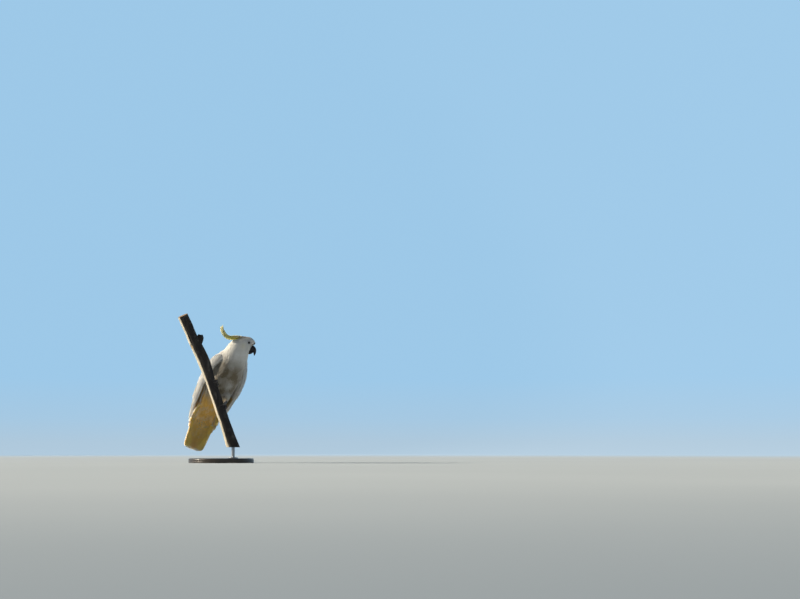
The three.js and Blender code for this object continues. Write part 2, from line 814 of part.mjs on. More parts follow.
function clawSolid(leg, toe, footGrown) {
  const radius = (u) => TOES.clawTip + (TOES.clawRadius - TOES.clawTip) * (1 - u) ** 0.8;
  const path = toePath(leg, toe, 1, 1 + TOES.clawReach);
  const claw = taperedTube(path, radius, TOES.sides, 4);
  return largest(claw.subtract(clearOfBranch).subtract(footGrown));
}

function thighSolid(leg, footGrown) {
  const hip = point(leg.hip);
  const ankle = point(leg.ankle);
  const radius = (u) => smooth([[0, THIGH.top], [0.5, THIGH.middle], [1, THIGH.ankle]], u);
  const thigh = taperedTube([hip, hip.clone().lerp(ankle, 0.5), ankle], radius, THIGH.sides, THIGH.steps);
  return largest(thigh.subtract(clearOfFlesh).subtract(clearOfBranch).subtract(footGrown));
}

// ---- Display stand ----

function latheSolid(profile, x, y) {
  const outline = profile.map(([radius, height]) => new THREE.Vector2(radius, height));
  const lathe = new THREE.LatheGeometry(outline, STAND_SIDES);
  lathe.rotateX(Math.PI / 2);
  lathe.translate(x, y, 0);
  return solidOf(lathe);
}

function standBase() {
  const { radius, height, edge } = BASE;
  const profile = [
    [0, 0],
    [radius - 1, 0],
    [radius, 1],
    [radius, height - edge],
    [radius - edge, height],
    [0, height],
  ];
  return latheSolid(profile, 0, 0);
}

function standRod() {
  const foot = BASE.height + GAP;
  const shoulder = foot + ROD.flangeHeight;
  const top = BRANCH.foot - GAP;
  const profile = [
    [0, foot],
    [ROD.flangeRadius, foot],
    [ROD.flangeRadius, shoulder],
    [ROD.radius, shoulder],
    [ROD.radius, top],
    [0, top],
  ];
  return latheSolid(profile, ROD.x, ROD.y);
}

// ---- The whole, as named meshes ----

const FINISHES = {
  white: { color: "#e9e7e2", roughness: 0.85 },
  wing: { color: "#efece6", roughness: 0.8 },
  tail: { color: "#d9c9a2", roughness: 0.8 },
  crest: { color: "#e8d35a", roughness: 0.8 },
  bill: { color: "#1d1b1b", roughness: 0.45 },
  eye: { color: "#120d0b", roughness: 0.12 },
  foot: { color: "#3b3836", roughness: 0.7 },
  claw: { color: "#241f1d", roughness: 0.4 },
  bark: { color: "#6f6352", roughness: 0.9 },
  stand: { color: "#2b2a29", roughness: 0.5 },
  rod: { color: "#8f9194", roughness: 0.35, metalness: 0.9 },
};

const cockatoo = new THREE.Group();
cockatoo.name = "cockatoo";

function place(name, solid, finish) {
  const { numProp, vertProperties, triVerts } = solid.getMesh();
  const positions = new Float32Array((vertProperties.length / numProp) * 3);
  for (let i = 0; i < positions.length; i++) {
    positions[i] = vertProperties[Math.floor(i / 3) * numProp + (i % 3)];
  }
  const geometry = new THREE.BufferGeometry();
  geometry.setAttribute("position", new THREE.BufferAttribute(positions, 3));
  geometry.setIndex(Array.from(triVerts));
  geometry.computeVertexNormals();
  const material = new THREE.MeshStandardMaterial({ metalness: 0, ...FINISHES[finish] });
  material.name = name;
  const mesh = new THREE.Mesh(geometry, material);
  mesh.name = name;
  cockatoo.add(mesh);
}

place("head", headSolid(), "white");
place("neck", parted(NECK_TOP, NECK_END), "white");
place("torso", parted(NECK_END, null), "white");
place("upper_bill", upperBillSolid(), "bill");
place("lower_bill", lowerBillSolid(), "bill");
place("eye_left", eyeSolid(1), "eye");
place("eye_right", eyeSolid(-1), "eye");
place("crest", crestSolid(), "crest");
place("wing_left", wingSolid(1), "wing");
place("wing_right", wingSolid(-1), "wing");
place("tail", tailSolid(), "tail");
for (const [side, leg] of Object.entries(LEGS)) {
  const footGrown = footSolid(leg, GAP);
  place("thigh_" + side, thighSolid(leg, footGrown), "white");
  place("foot_" + side, footSolid(leg, 0), "foot");
  for (const toe of TOE_SET) {
    place("claw_" + side + "_" + toe.name, clawSolid(leg, toe, footGrown), "claw");
  }
}
place("perch", branchSolid(0), "bark");
place("stand_base", standBase(), "stand");
place("stand_rod", standRod(), "rod");

export default cockatoo;
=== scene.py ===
# %% [markdown]
# # A sulphur-crested cockatoo on its perch
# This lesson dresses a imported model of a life-size perched cockatoo: its skin, its coat of
# feathers, bill, eyes and feet, the bark of its branch and the stand that holds them. Sizes are
# written in millimetres, the way a model maker would write them, and turned into metres only when
# a mesh is made.

# %% Open the frame
import math

import bpy
import numpy as np
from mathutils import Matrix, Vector, noise
from mathutils.bvhtree import BVHTree
from mathutils.kdtree import KDTree


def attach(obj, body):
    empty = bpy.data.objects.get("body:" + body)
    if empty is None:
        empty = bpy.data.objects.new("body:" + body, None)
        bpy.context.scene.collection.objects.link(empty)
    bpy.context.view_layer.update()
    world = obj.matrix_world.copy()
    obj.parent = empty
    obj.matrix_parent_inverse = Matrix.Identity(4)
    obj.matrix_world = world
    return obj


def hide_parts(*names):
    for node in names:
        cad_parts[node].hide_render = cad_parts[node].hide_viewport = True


MM = 0.001
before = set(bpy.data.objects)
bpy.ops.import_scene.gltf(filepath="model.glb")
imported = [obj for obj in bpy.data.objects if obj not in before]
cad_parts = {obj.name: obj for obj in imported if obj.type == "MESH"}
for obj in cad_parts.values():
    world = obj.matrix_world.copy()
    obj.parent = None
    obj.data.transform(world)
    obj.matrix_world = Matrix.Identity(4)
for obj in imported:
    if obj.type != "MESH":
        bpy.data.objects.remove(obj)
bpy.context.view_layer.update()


# %% [markdown]
# ## Curves through a few sizes
# Every outline of the bird is a short list of sizes. A cubic curve through them gives the sizes in
# between. Blender has curve objects for this, but plain arithmetic on arrays handles a whole coat
# of feathers at once, so numpy does the work here.

# %% A smooth curve through pairs
def smooth(pairs, x):
    """The value at x on a smooth curve through [x, value] pairs, level past either end."""
    xs, ys = np.array(pairs, float).T
    slope = np.gradient(ys) / np.gradient(xs)
    x = np.clip(np.asarray(x, float), xs[0], xs[-1])
    i = np.clip(np.searchsorted(xs, x, side="right") - 1, 0, len(xs) - 2)
    span = xs[i + 1] - xs[i]
    t = (x - xs[i]) / span
    s = 1 - t
    ends = ys[i] * s * s * (1 + 2 * t) + ys[i + 1] * t * t * (3 - 2 * t)
    return ends + slope[i] * span * t * s * s - slope[i + 1] * span * t * t * s


def unit(v):
    return v / np.maximum(np.linalg.norm(v, axis=-1, keepdims=True), 1e-12)


def mix(a, b, share):
    return a + (b - a) * share


def ease(low, high, x):
    """0 below low, 1 above high, and a soft step between."""
    t = np.clip((x - low) / (high - low), 0, 1)
    return t * t * (3 - 2 * t)


def full_turn(sides):
    """Angles evenly round a circle, in radians."""
    return np.linspace(0, 2 * math.pi, sides, endpoint=False)


print("halfway up a soft step:", ease(0, 2, 1.0))

# %% A line through points, walked by share or by length
class Line:
    """A rounded line through points. Corners are eased by how far apart the points stand."""

    STEPS = 48

    def __init__(self, points):
        p = np.array(points, float)
        ghost = np.vstack([2 * p[0] - p[1], p, 2 * p[-1] - p[-2]])
        at, way = [], []
        for k in range(len(p) - 1):
            a, b, c, d = ghost[k : k + 4]
            gap = [max(np.linalg.norm(q - r), 1e-6) ** 0.5 for q, r in ((b, a), (c, b), (d, c))]
            leave = ((b - a) / gap[0] - (c - a) / (gap[0] + gap[1]) + (c - b) / gap[1]) * gap[1]
            arrive = ((c - b) / gap[1] - (d - b) / (gap[1] + gap[2]) + (d - c) / gap[2]) * gap[1]
            square, cube = 3 * (c - b) - 2 * leave - arrive, 2 * (b - c) + leave + arrive
            last = k == len(p) - 2
            w = np.linspace(0, 1, self.STEPS + 1)[: None if last else -1, None]
            at.append(b + w * (leave + w * (square + w * cube)))
            way.append(leave + w * (2 * square + 3 * w * cube))
        self.at, self.way = np.vstack(at), unit(np.vstack(way))
        self.share = np.linspace(0, 1, len(self.at))
        self.down = np.concatenate([[0], np.cumsum(np.linalg.norm(np.diff(self.at, axis=0), axis=1))])
        self.length = self.down[-1]

    def _read(self, table, key, x):
        x = np.asarray(x, float)
        return np.stack([np.interp(x, key, column) for column in table.T], -1)

    def by_share(self, t):
        return self._read(self.at, self.share, t), unit(self._read(self.way, self.share, t))

    def by_length(self, down):
        """The place and direction at a length, straight on past either end."""
        inside = np.clip(down, 0, self.length)
        way = unit(self._read(self.way, self.down, inside))
        return self._read(self.at, self.down, inside) + way * (down - inside)[..., None], way


print("a line takes", Line.STEPS, "steps from one point to the next")

# %% [markdown]
# ## The bird's own directions
# A maker thinks in the bird's directions, not the room's: down its back, to its left, ahead of its
# eyes. Each function below turns such a direction into a place in the room. The feathers and the
# flesh use the same functions, so they can't drift apart.

# %% Down the back
SPINE = Line([
    [78, -3, 475], [64, -3, 451], [44, 3, 411], [21.5, 13, 371],
    [-8, 31, 311], [-40, 52, 247], [-68, 70, 187], [-117, 102, 57],
])
BODY_TURN = [[0, 12], [300, 12], [470, 4]]  # degrees the belly faces left of straight out
TRUNK = {
    "width": [[0, 40], [28, 49], [73, 59.5], [121, 66.5], [191, 64], [266, 54], [320, 45], [352, 37]],
    "breast": [[0, 31], [28, 38], [73, 51], [121, 61], [191, 55], [266, 38], [320, 20], [352, 11]],
    "back": [[0, 31], [28, 37], [73, 46], [121, 53], [191, 48], [266, 33], [320, 17], [352, 9]],
    "end": 352,
}


def spine_at(down):
    """The middle line at a distance down it, with the directions down, left and to the back."""
    down = np.asarray(down, float)
    at, tailward = SPINE.by_length(down)
    turn = np.radians(smooth(BODY_TURN, down))
    left = np.stack([np.cos(turn), np.sin(turn), 0 * turn], -1)
    left = unit(left - np.sum(left * tailward, -1, keepdims=True) * tailward)
    return at, tailward, left, unit(np.cross(left, tailward))


print("the middle line is", round(float(SPINE.length)), "mm long")

# %% Round the head
EYES_AT = np.array([98.0, 5, 481])  # midway between the eyes
HEAD_TURN = math.radians(20)
AHEAD = np.array([math.cos(HEAD_TURN), math.sin(HEAD_TURN), 0])
UP = np.array([0, 0, 1.0])
HEAD_LEFT = np.cross(UP, AHEAD)
SKULL = {
    "top": [[-56, 2], [-50, 9], [-38, 17], [-20, 23], [0, 26], [14, 24], [25, 17], [33, 8.5], [38.5, 0]],
    "bottom": [[-56, -14], [-50, -30], [-38, -42], [-20, -48], [-5, -49], [3, -44], [9, -31],
               [16, -20], [26, -11], [38.5, -5]],
    "width": [[-56, 8], [-50, 20], [-38, 28], [-20, 29], [0, 26], [14, 23], [25, 18], [33, 12], [38.5, 4]],
}


def head_at(ahead, up, out):
    """A place on the head: ahead of the eyes, above them, and out to the bird's left."""
    spread = [np.asarray(v, float)[..., None] for v in (ahead, up, out)]
    return EYES_AT + spread[0] * AHEAD + spread[1] * UP + spread[2] * HEAD_LEFT


def head_sizes(points):
    """How far ahead of the eyes, above them and out to the left some points are."""
    away = np.asarray(points, float) - EYES_AT
    return away @ AHEAD, away @ UP, away @ HEAD_LEFT


print("the crown is at", np.round(head_at(0, 26, 0)))

# %% Over the wings, the tail and the crest
WING_START = 66  # the wrist's distance down the middle line
WING = {
    "side": [[0, 65], [30, 79], [60, 88.5], [120, 93], [170, 88.5], [220, 79],
             [270, 65], [306, 54], [330, 48]],
    "back": [[0, 44], [60, 60], [120, 58], [170, 47], [220, 36], [270, 27], [306, 22]],
    "belly": [[-12, -6], [0, -28], [25, -42], [70, -46], [120, -44], [180, -39], [240, -35], [306, -15]],
    "spineward": [[-12, 20], [0, 48], [30, 82], [80, 101], [130, 107], [180, 98], [230, 81],
                  [270, 67], [306, 53]],
}
TAIL_ROOF = 0.0025  # how the tail droops to its sides
CREST = Line([
    head_at(ahead, up, 0)
    for ahead, up in ((16, 21), (-8, 24), (-32, 22), (-56, 18), (-76, 17.5), (-94, 27), (-104, 43),
                      (-107, 56), (-103, 66))
])


def wing_at(sign, along, across, out):
    """On a folded wing: along from the wrist, across towards the back, and out from its face."""
    at, _, left, back = spine_at(WING_START + along)
    side, depth = smooth(WING["side"], along), smooth(WING["back"], along)
    turn = 2 * across / (side + depth)
    leftward = sign * (side + out) * np.cos(turn)
    backward = (depth + out) * np.sin(turn)
    return at + leftward[..., None] * left + backward[..., None] * back


def tail_at(down, side, out):
    at, _, left, back = spine_at(down)
    return at + side[..., None] * left + (out - TAIL_ROOF * side * side)[..., None] * back


def crest_at(along, left, out):
    at, way = CREST.by_length(along)
    return at + left[..., None] * HEAD_LEFT + out[..., None] * unit(np.cross(way, HEAD_LEFT))


print("the crest curls over", round(float(CREST.length)), "mm")

# %% [markdown]
# ## From arrays to meshes
# bmesh builds a mesh a face at a time, which is clear but slow for half a million faces. Blender
# also takes whole arrays of points and face corners, so one helper hands those over and adds the
# maps and values that the finishes read.

# %% A mesh from arrays
def mesh_of(name, points, faces, values=None, maps=None, rim=None):
    """A piece from points in millimetres. values are numbers a point, maps are pairs a point, and
    rim marks the points whose edges stay crisp."""
    faces = [np.asarray(f, np.int32).reshape(len(f), -1) for f in faces if len(f)]
    corners = np.concatenate([f.ravel() for f in faces])
    sizes = np.concatenate([np.full(len(f), f.shape[1]) for f in faces])
    mesh = bpy.data.meshes.new(name)
    mesh.vertices.add(len(points))
    mesh.vertices.foreach_set("co", (np.asarray(points) * MM).astype(np.float32).ravel())
    mesh.loops.add(len(corners))
    mesh.loops.foreach_set("vertex_index", corners)
    mesh.polygons.add(len(sizes))
    mesh.polygons.foreach_set("loop_start", np.concatenate([[0], np.cumsum(sizes)[:-1]]).astype(np.int32))
    mesh.update(calc_edges=True)
    mesh.shade_smooth()
    for label, value in (values or {}).items():
        layer = mesh.attributes.new(label, "FLOAT", "POINT")
        layer.data.foreach_set("value", np.asarray(value, np.float32))
    for label, pairs in (maps or {}).items():
        layer = mesh.uv_layers.new(name=label)
        layer.data.foreach_set("uv", np.asarray(pairs, np.float32)[corners].ravel())
    if rim is not None:
        ends = np.empty(len(mesh.edges) * 2, np.int32)
        mesh.edges.foreach_get("vertices", ends)
        crisp = mesh.attributes.new("sharp_edge", "BOOLEAN", "EDGE")
        crisp.data.foreach_set("value", rim[ends].reshape(-1, 2).all(1))
    piece = bpy.data.objects.new(name, mesh)
    bpy.context.scene.collection.objects.link(piece)
    return piece


# %% Skins over rings
def ring_faces(rows, sides, shut=True):
    """The faces of a skin over rings of points, with a fan over each end."""
    i, j = np.meshgrid(np.arange(rows - 1), np.arange(sides), indexing="ij")
    a, b = i * sides + j, i * sides + (j + 1) % sides
    faces = [np.stack([a, b, b + sides, a + sides], -1).reshape(-1, 4)]
    if shut:
        j = np.arange(sides)
        start, end = rows * sides, (rows - 1) * sides
        faces.append(np.stack([0 * j + start, (j + 1) % sides, j], -1))
        faces.append(np.stack([0 * j + start + 1, end + j, end + (j + 1) % sides], -1))
    return faces


def shut_rings(rings):
    """The points of some rings, with one more in the middle of each end."""
    return np.vstack([rings.reshape(-1, 3), rings[0].mean(0), rings[-1].mean(0)])


def oval_rings(centre, across, up, wide, high, deep, sides):
    """Rings round centres in the plane of two directions, each with its own depth above and below."""
    turn = full_turn(sides)
    rise = np.sin(turn)
    lift = np.where(rise > 0, high[:, None], deep[:, None]) * rise
    return (centre[:, None] + (wide[:, None] * np.cos(turn))[..., None] * across[:, None]
            + lift[..., None] * up[:, None])


def tube_rings(points, radius_at, sides, steps):
    """Round rings along a line, whose sides don't twist."""
    line = Line(points)
    share = np.linspace(0, 1, steps + 1)
    at, way = line.by_length(share * line.length)
    side = np.zeros_like(way)
    side[0] = unit(np.cross(way[0], [0.31, 0.52, 0.79]))
    for k in range(1, len(way)):
        side[k] = unit(side[k - 1] - np.dot(side[k - 1], way[k]) * way[k])
    radius = radius_at(share)
    return oval_rings(at, side, np.cross(way, side), radius, radius, radius, sides)


print("four rings of six points take", sum(len(f) for f in ring_faces(4, 6)), "faces")


# %% A finish and the nodes that a piece stands for
def finish_piece(piece, slot, material, *nodes):
    """Puts the finish on a piece, hangs it from the frame's root, hides the imported nodes that it
    stands for, and returns it.
    """
    piece.data.materials.clear()
    piece.data.materials.append(material)
    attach(piece, "root")
    if nodes:
        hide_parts(*nodes)
    print(piece.name, "has", len(piece.data.polygons), "faces", "for " + ", ".join(nodes) if nodes else "")
    return piece

# %% [markdown]
# ## Finishes
# Several finishes need the same effects: patches of tone, fine grain along a direction, the barbs
# of a feather. Each effect is a shader node group with named inputs, built once and used with its
# own values in each material. The surface shader itself stays in the material, where the numbers
# that don't vary are set straight on its sockets.

# %% Small tools for nodes
def feed(tree, socket, value):
    """Links a socket to another node's output, or sets it to a plain value."""
    if isinstance(value, bpy.types.NodeSocket):
        tree.links.new(value, socket)
    else:
        socket.default_value = value


def node(tree, kind, settings=None, **inputs):
    """A shader node with its settings and inputs. Inputs without a clear name are i0, i1 and so on."""
    made = tree.nodes.new("ShaderNode" + kind)
    for label, value in (settings or {}).items():
        setattr(made, label, value)
    for label, value in inputs.items():
        key = int(label[1:]) if label[1:].isdigit() else label.replace("_", " ")
        feed(tree, made.inputs[key], value)
    return made


def maths(tree, operation, *values):
    settings = {"operation": operation}
    return node(tree, "Math", settings, **{"i" + str(i): v for i, v in enumerate(values)}).outputs[0]


def times(tree, a, b):
    return maths(tree, "MULTIPLY", a, b)


def stretched(tree, place, by):
    """A place whose three numbers are each multiplied by their own."""
    return node(tree, "VectorMath", {"operation": "MULTIPLY"}, i0=place, i1=by).outputs[0]


def carried(tree, label):
    """A value that the mesh carries from point to point."""
    return node(tree, "Attribute", {"attribute_name": label}).outputs["Fac"]


def soft_step(tree, value, low, high):
    """0 at low, 1 at high, and a soft step between."""
    settings = {"interpolation_type": "SMOOTHSTEP"}
    return node(tree, "MapRange", settings, i0=value, i1=low, i2=high).outputs[0]


def blend_colours(tree, share, a, b, how="MIX"):
    """Colour a where the share is 0 and b where it is 1."""
    settings = {"data_type": "RGBA", "blend_type": how}
    return node(tree, "Mix", settings, i0=share, i6=a, i7=b).outputs[2]


def colour(r, g, b):
    return (r, g, b, 1.0)


def new_group(name, inputs, outputs):
    """An empty effect with its sockets, and the tree's own input and output nodes."""
    tree = bpy.data.node_groups.new(name, "ShaderNodeTree")
    for label, value in inputs.items():
        socket = tree.interface.new_socket(label, in_out="INPUT", socket_type="NodeSocketFloat")
        socket.default_value = value
    for label in outputs:
        tree.interface.new_socket(label, in_out="OUTPUT", socket_type="NodeSocketFloat")
    return tree, tree.nodes.new("NodeGroupInput").outputs, tree.nodes.new("NodeGroupOutput").inputs


def effect(tree, group, **inputs):
    """The outputs of an effect, used with its own values."""
    return node(tree, "Group", {"node_tree": group}, **inputs).outputs


print("a shader takes black as", colour(0.0, 0.0, 0.0))


# %% Patches of tone
def patches_group():
    """Soft patches from none to full, in the object's own space. Stretch lengthens them upward."""
    inputs = {"Size": 0.02, "Stretch": 1.0, "Low": 0.4, "High": 0.6, "Detail": 4.0}
    tree, given, out = new_group("Patches", inputs, ["Mask"])
    place = node(tree, "TexCoord").outputs["Object"]
    shape = node(tree, "CombineXYZ", i0=1.0, i1=1.0, i2=maths(tree, "DIVIDE", 1.0, given["Stretch"]))
    place = stretched(tree, place, shape.outputs[0])
    cloud = node(tree, "TexNoise", Vector=place, Scale=maths(tree, "DIVIDE", 1.0, given["Size"]),
                 Detail=given["Detail"])
    tree.links.new(soft_step(tree, cloud.outputs[0], given["Low"], given["High"]), out["Mask"])
    return tree


PATCHES = patches_group()
print("effect:", PATCHES.name)

# %% [markdown]
# A feather's vane is hundreds of barbs side by side. They leave the shaft at a slant and part here
# and there. Modelling each would cost millions of faces, so the barbs are a bump: a wave that runs
# along the slant, read from a map that holds how far across and along its feather each point is.

# %% Barbs of a feather
def barbs_group():
    """The relief of the barbs, and the painted shade in the partings between them."""
    inputs = {"Spacing": 0.0006, "Slant": 0.9, "Parting": 0.5}
    tree, given, out = new_group("Barbs", inputs, ["Height", "Shade"])
    vane = node(tree, "UVMap", {"uv_map": "vane"}).outputs[0]
    across, along = node(tree, "SeparateXYZ", Vector=vane).outputs[:2]
    slant = times(tree, maths(tree, "ABSOLUTE", across), given["Slant"])
    run = maths(tree, "SUBTRACT", along, slant)
    wave = maths(tree, "SINE", times(tree, maths(tree, "DIVIDE", run, given["Spacing"]), 2 * math.pi))
    # a parting is one barb-wide cloud that keeps its place along the slant
    tone = carried(tree, "tone")
    lane = node(tree, "CombineXYZ", i0=times(tree, run, 420.0),
                i1=times(tree, across, 60.0), i2=times(tree, tone, 37.0))
    cloud = node(tree, "TexNoise", Vector=lane.outputs[0], Scale=1.0, Detail=2.0).outputs[0]
    part = soft_step(tree, cloud, 0.36, 0.46)
    depth = times(tree, maths(tree, "SUBTRACT", 1.0, part), given["Parting"])
    height = maths(tree, "SUBTRACT", times(tree, wave, 0.22), depth)
    tree.links.new(height, out["Height"])
    tree.links.new(times(tree, depth, 0.5), out["Shade"])
    return tree


BARBS = barbs_group()
print("effect:", BARBS.name)

# %% Fine grain along a direction
def grain_group():
    """Streaks drawn out along z in the object's space, for wood, bark and horn."""
    inputs = {"Width": 0.002, "Length": 0.03, "Roughness": 0.6}
    tree, given, out = new_group("Grain", inputs, ["Height", "Mask"])
    place = node(tree, "TexCoord").outputs["Object"]
    width, length = (maths(tree, "DIVIDE", 1.0, given[label]) for label in ("Width", "Length"))
    squeeze = node(tree, "CombineXYZ", i0=width, i1=width, i2=length).outputs[0]
    place = stretched(tree, place, squeeze)
    streaks = node(tree, "TexNoise", Vector=place, Scale=1.0, Detail=5.0, Roughness=given["Roughness"],
                   Distortion=0.4).outputs[0]
    tree.links.new(streaks, out["Height"])
    tree.links.new(soft_step(tree, streaks, 0.42, 0.62), out["Mask"])
    return tree


GRAIN = grain_group()
print("effect:", GRAIN.name)

# %% Scaly skin and cracked bark
def cells_group():
    """Cells with creases between them: the scales of a foot, or the small plates of bark."""
    inputs = {"Size": 0.002, "Stretch": 1.0, "Crease": 0.12}
    tree, given, out = new_group("Cells", inputs, ["Height", "Crease"])
    place = node(tree, "TexCoord").outputs["Object"]
    wobble = node(tree, "TexNoise", Vector=place, Scale=maths(tree, "DIVIDE", 0.4, given["Size"]), Detail=2.0)
    moved = node(tree, "VectorMath", {"operation": "SCALE"}, i0=wobble.outputs[1],
                 Scale=times(tree, given["Size"], 0.9)).outputs[0]
    place = node(tree, "VectorMath", {"operation": "ADD"}, i0=place, i1=moved).outputs[0]
    shape = node(tree, "CombineXYZ", i0=1.0, i1=1.0, i2=maths(tree, "DIVIDE", 1.0, given["Stretch"]))
    place = stretched(tree, place, shape.outputs[0])
    size = maths(tree, "DIVIDE", 1.0, given["Size"])
    edge = node(tree, "TexVoronoi", {"feature": "DISTANCE_TO_EDGE"}, Vector=place, Scale=size).outputs[0]
    height = soft_step(tree, edge, 0.0, times(tree, given["Crease"], 2.0))
    tree.links.new(height, out["Height"])
    tree.links.new(soft_step(tree, edge, given["Crease"], 0.0), out["Crease"])
    return tree


CELLS = cells_group()
print("effect:", CELLS.name)

# %% [markdown]
# A material is then a short recipe: a colour, a roughness, and a height that a Bump node turns into
# the surface's small relief.

# %% A material from a recipe
def new_material(name):
    material = bpy.data.materials.new(name)
    material.use_nodes = True
    tree = material.node_tree
    return material, tree, tree.nodes["Principled BSDF"]


def dress(tree, shader, base, roughness, height=None, relief=0.0002, **constants):
    """Feeds the shader. relief is how deep a height of 1 is, in metres."""
    feed(tree, shader.inputs["Base Color"], base)
    feed(tree, shader.inputs["Roughness"], roughness)
    if height is not None:
        bump = node(tree, "Bump", Strength=1.0, Distance=relief, Height=height)
        tree.links.new(bump.outputs[0], shader.inputs["Normal"])
    for label, value in constants.items():
        shader.inputs[label.replace("_", " ")].default_value = value


# %% [markdown]
# ## Plumage finish
# White feathers are never one white. Each has its own faint tone, the shaft side is a little
# warmer, and yellow shows under the wings, under the tail, on the ear and at the roots. How yellow
# a point is comes with the mesh as a value named wash, so the finish is one recipe for every tract.

# %% White and yellow plumage
WHITE, CREAM = colour(0.83, 0.82, 0.79), colour(0.70, 0.68, 0.62)
# The darkest of these colours is for dust and for painted shade.
# The second of these colours is painted backlight: the warm brown of light shining through yellow feathers.
YELLOW, PAINTED_BACKLIGHT, DUST_AND_SHADE = colour(0.90, 0.70, 0.11), colour(0.92, 0.50, 0.05), colour(0.165, 0.13, 0.08)


def plumage(name, light=WHITE, shaded=CREAM, washed=YELLOW, spacing=0.0006, relief=0.0001,
            glow=0.12, deep=0.004):
    """glow is how much light the feathers let through, and deep is how far it goes, in metres."""
    material, tree, shader = new_material(name)
    barbs = effect(tree, BARBS, Spacing=spacing)
    patches = effect(tree, PATCHES, Size=0.016, Low=0.38, High=0.66)
    wash, painted_backlight, tone, dust = (carried(tree, label) for label in ("wash", "painted_backlight", "tone", "dust"))
    base = blend_colours(tree, times(tree, patches["Mask"], 0.35), light, shaded)
    base = blend_colours(tree, times(tree, tone, 0.35), base, shaded)
    base = blend_colours(tree, wash, base, washed)
    # painted backlight: warm brown where light would shine through the feathers
    base = blend_colours(tree, painted_backlight, base, PAINTED_BACKLIGHT)
    # dust, darkened further into painted shade on the body's front
    base = blend_colours(tree, dust, base, DUST_AND_SHADE)
    # painted shade in the partings between the barbs
    base = blend_colours(tree, times(tree, barbs["Shade"], 0.5), base, shaded, "MULTIPLY")
    dress(tree, shader, base, 0.72, barbs["Height"], relief, Subsurface_Weight=glow,
          Subsurface_Radius=(1.0, 0.9, 0.75), Subsurface_Scale=deep, Sheen_Weight=0.25,
          Sheen_Roughness=0.5, Specular_IOR_Level=0.3)
    return material


WHITE_PLUMAGE = plumage("body_white", spacing=0.00045)
WING_PLUMAGE = plumage("flight_white", spacing=0.0007, relief=0.00012, glow=0.7)
TAIL_PLUMAGE = plumage("tail_white", spacing=0.0007, relief=0.00012, glow=0.75)
CREST_PLUMAGE = plumage("crest_yellow", light=colour(0.96, 0.93, 0.60), shaded=colour(0.92, 0.78, 0.16),
                        washed=colour(0.97, 0.83, 0.03), spacing=0.0006, glow=0.5, deep=0.005)
print("plumage finishes:", WHITE_PLUMAGE.name, WING_PLUMAGE.name, TAIL_PLUMAGE.name, CREST_PLUMAGE.name)


# %% Down under the feathers
def down_finish():
    material, tree, shader = new_material("white_down")
    fluff = effect(tree, PATCHES, Size=0.0016, Low=0.3, High=0.7)
    patches = effect(tree, PATCHES, Size=0.02)
    base = blend_colours(tree, patches["Mask"], colour(0.74, 0.73, 0.70), colour(0.62, 0.60, 0.56))
    dress(tree, shader, base, 0.9, fluff["Mask"], 0.0006, Sheen_Weight=0.3)
    return material


WHITE_DOWN = down_finish()
print("finish:", WHITE_DOWN.name)

# %% [markdown]
# ## Flesh under the coat
# The feathers need something to grow on: one closed skin without seams. Sculptors would model it
# by hand. Here the trunk, skull, thighs and the fleshy part of each wing are simple lofts, a little
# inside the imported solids, and Blender's voxel remesh melts them into one surface.

# %% Lofts of the flesh
COAT_DEPTH = {"trunk": 4.2, "skull": 2.2, "thigh": 4}  # how far the skin lies inside the solids
LEGS = {
    "left": {"hip": [10, 24, 286], "ankle": [17, -16, 245], "palm_turn": 45, "palm_height": 221},
    "right": {"hip": [-22, 0, 345], "ankle": [-18, -40, 318], "palm_turn": 62, "palm_height": 310},
}
THIGH_RADIUS = [[0, 26], [0.5, 23], [1, 10]]
WING_CORE = {"start": -10, "end": 156, "sink": 5.2, "inset": 5,
             "thick": [[-10, 3], [0, 12], [40, 20], [100, 24], [156, 14]]}
TAIL_SLEEVE = [[326, 43, 14, 16], [354, 40, 9, 10.5], [374, 38, 5, 7], [400, 34, 2.5, 4]]


def trunk_rings(grow, sides=64, steps=70):
    down = np.linspace(0, TRUNK["end"], steps + 1)
    at, _, left, back = spine_at(down)
    wide, high, deep = (smooth(TRUNK[k], down) + grow for k in ("width", "back", "breast"))
    return oval_rings(at, left, back, wide, high, deep, sides)


def skull_rings(grow, sides=56, steps=50):
    share = (1 - np.cos(np.pi * np.linspace(0, 1, steps + 1))) / 2
    ahead = mix(SKULL["top"][0][0], SKULL["top"][-1][0], share)
    top, bottom = smooth(SKULL["top"], ahead) + grow, smooth(SKULL["bottom"], ahead) - grow
    middle = head_at(ahead + grow * (2 * share - 1), (top + bottom) / 2, 0 * ahead)
    half = np.maximum((top - bottom) / 2, 0.6)
    wide = np.maximum(smooth(SKULL["width"], ahead) + grow, 0.6)
    ones = np.ones((len(share), 1))
    return oval_rings(middle, ones * HEAD_LEFT, ones * UP, wide, half, half, sides)


def thigh_rings(leg, grow):
    hip, ankle = np.array(leg["hip"], float), np.array(leg["ankle"], float)
    path = [hip, (hip + ankle) / 2, ankle]
    return tube_rings(path, lambda share: smooth(THIGH_RADIUS, share) + grow * (1 - 0.6 * share), 32, 16)


def wing_core_rings(sign):
    along = np.linspace(WING_CORE["start"], WING_CORE["end"], 24)
    turn = full_turn(40)
    low = smooth(WING["belly"], along) + WING_CORE["inset"]
    high = smooth(WING["spineward"], along) - WING_CORE["inset"]
    across = mix(low[:, None], high[:, None], (1 - np.cos(turn)) / 2)
    thick = smooth(WING_CORE["thick"], along)[:, None]
    out = -WING_CORE["sink"] - thick * (1 - np.abs(np.sin(turn)) * np.sign(np.sin(turn))) / 2
    return wing_at(sign, along[:, None] + 0 * across, across, out)


def sleeve_rings():
    down, wide, high, deep = np.array(TAIL_SLEEVE, float).T
    at, _, left, back = spine_at(down)
    return oval_rings(at, left, back, wide, high, deep, 40)


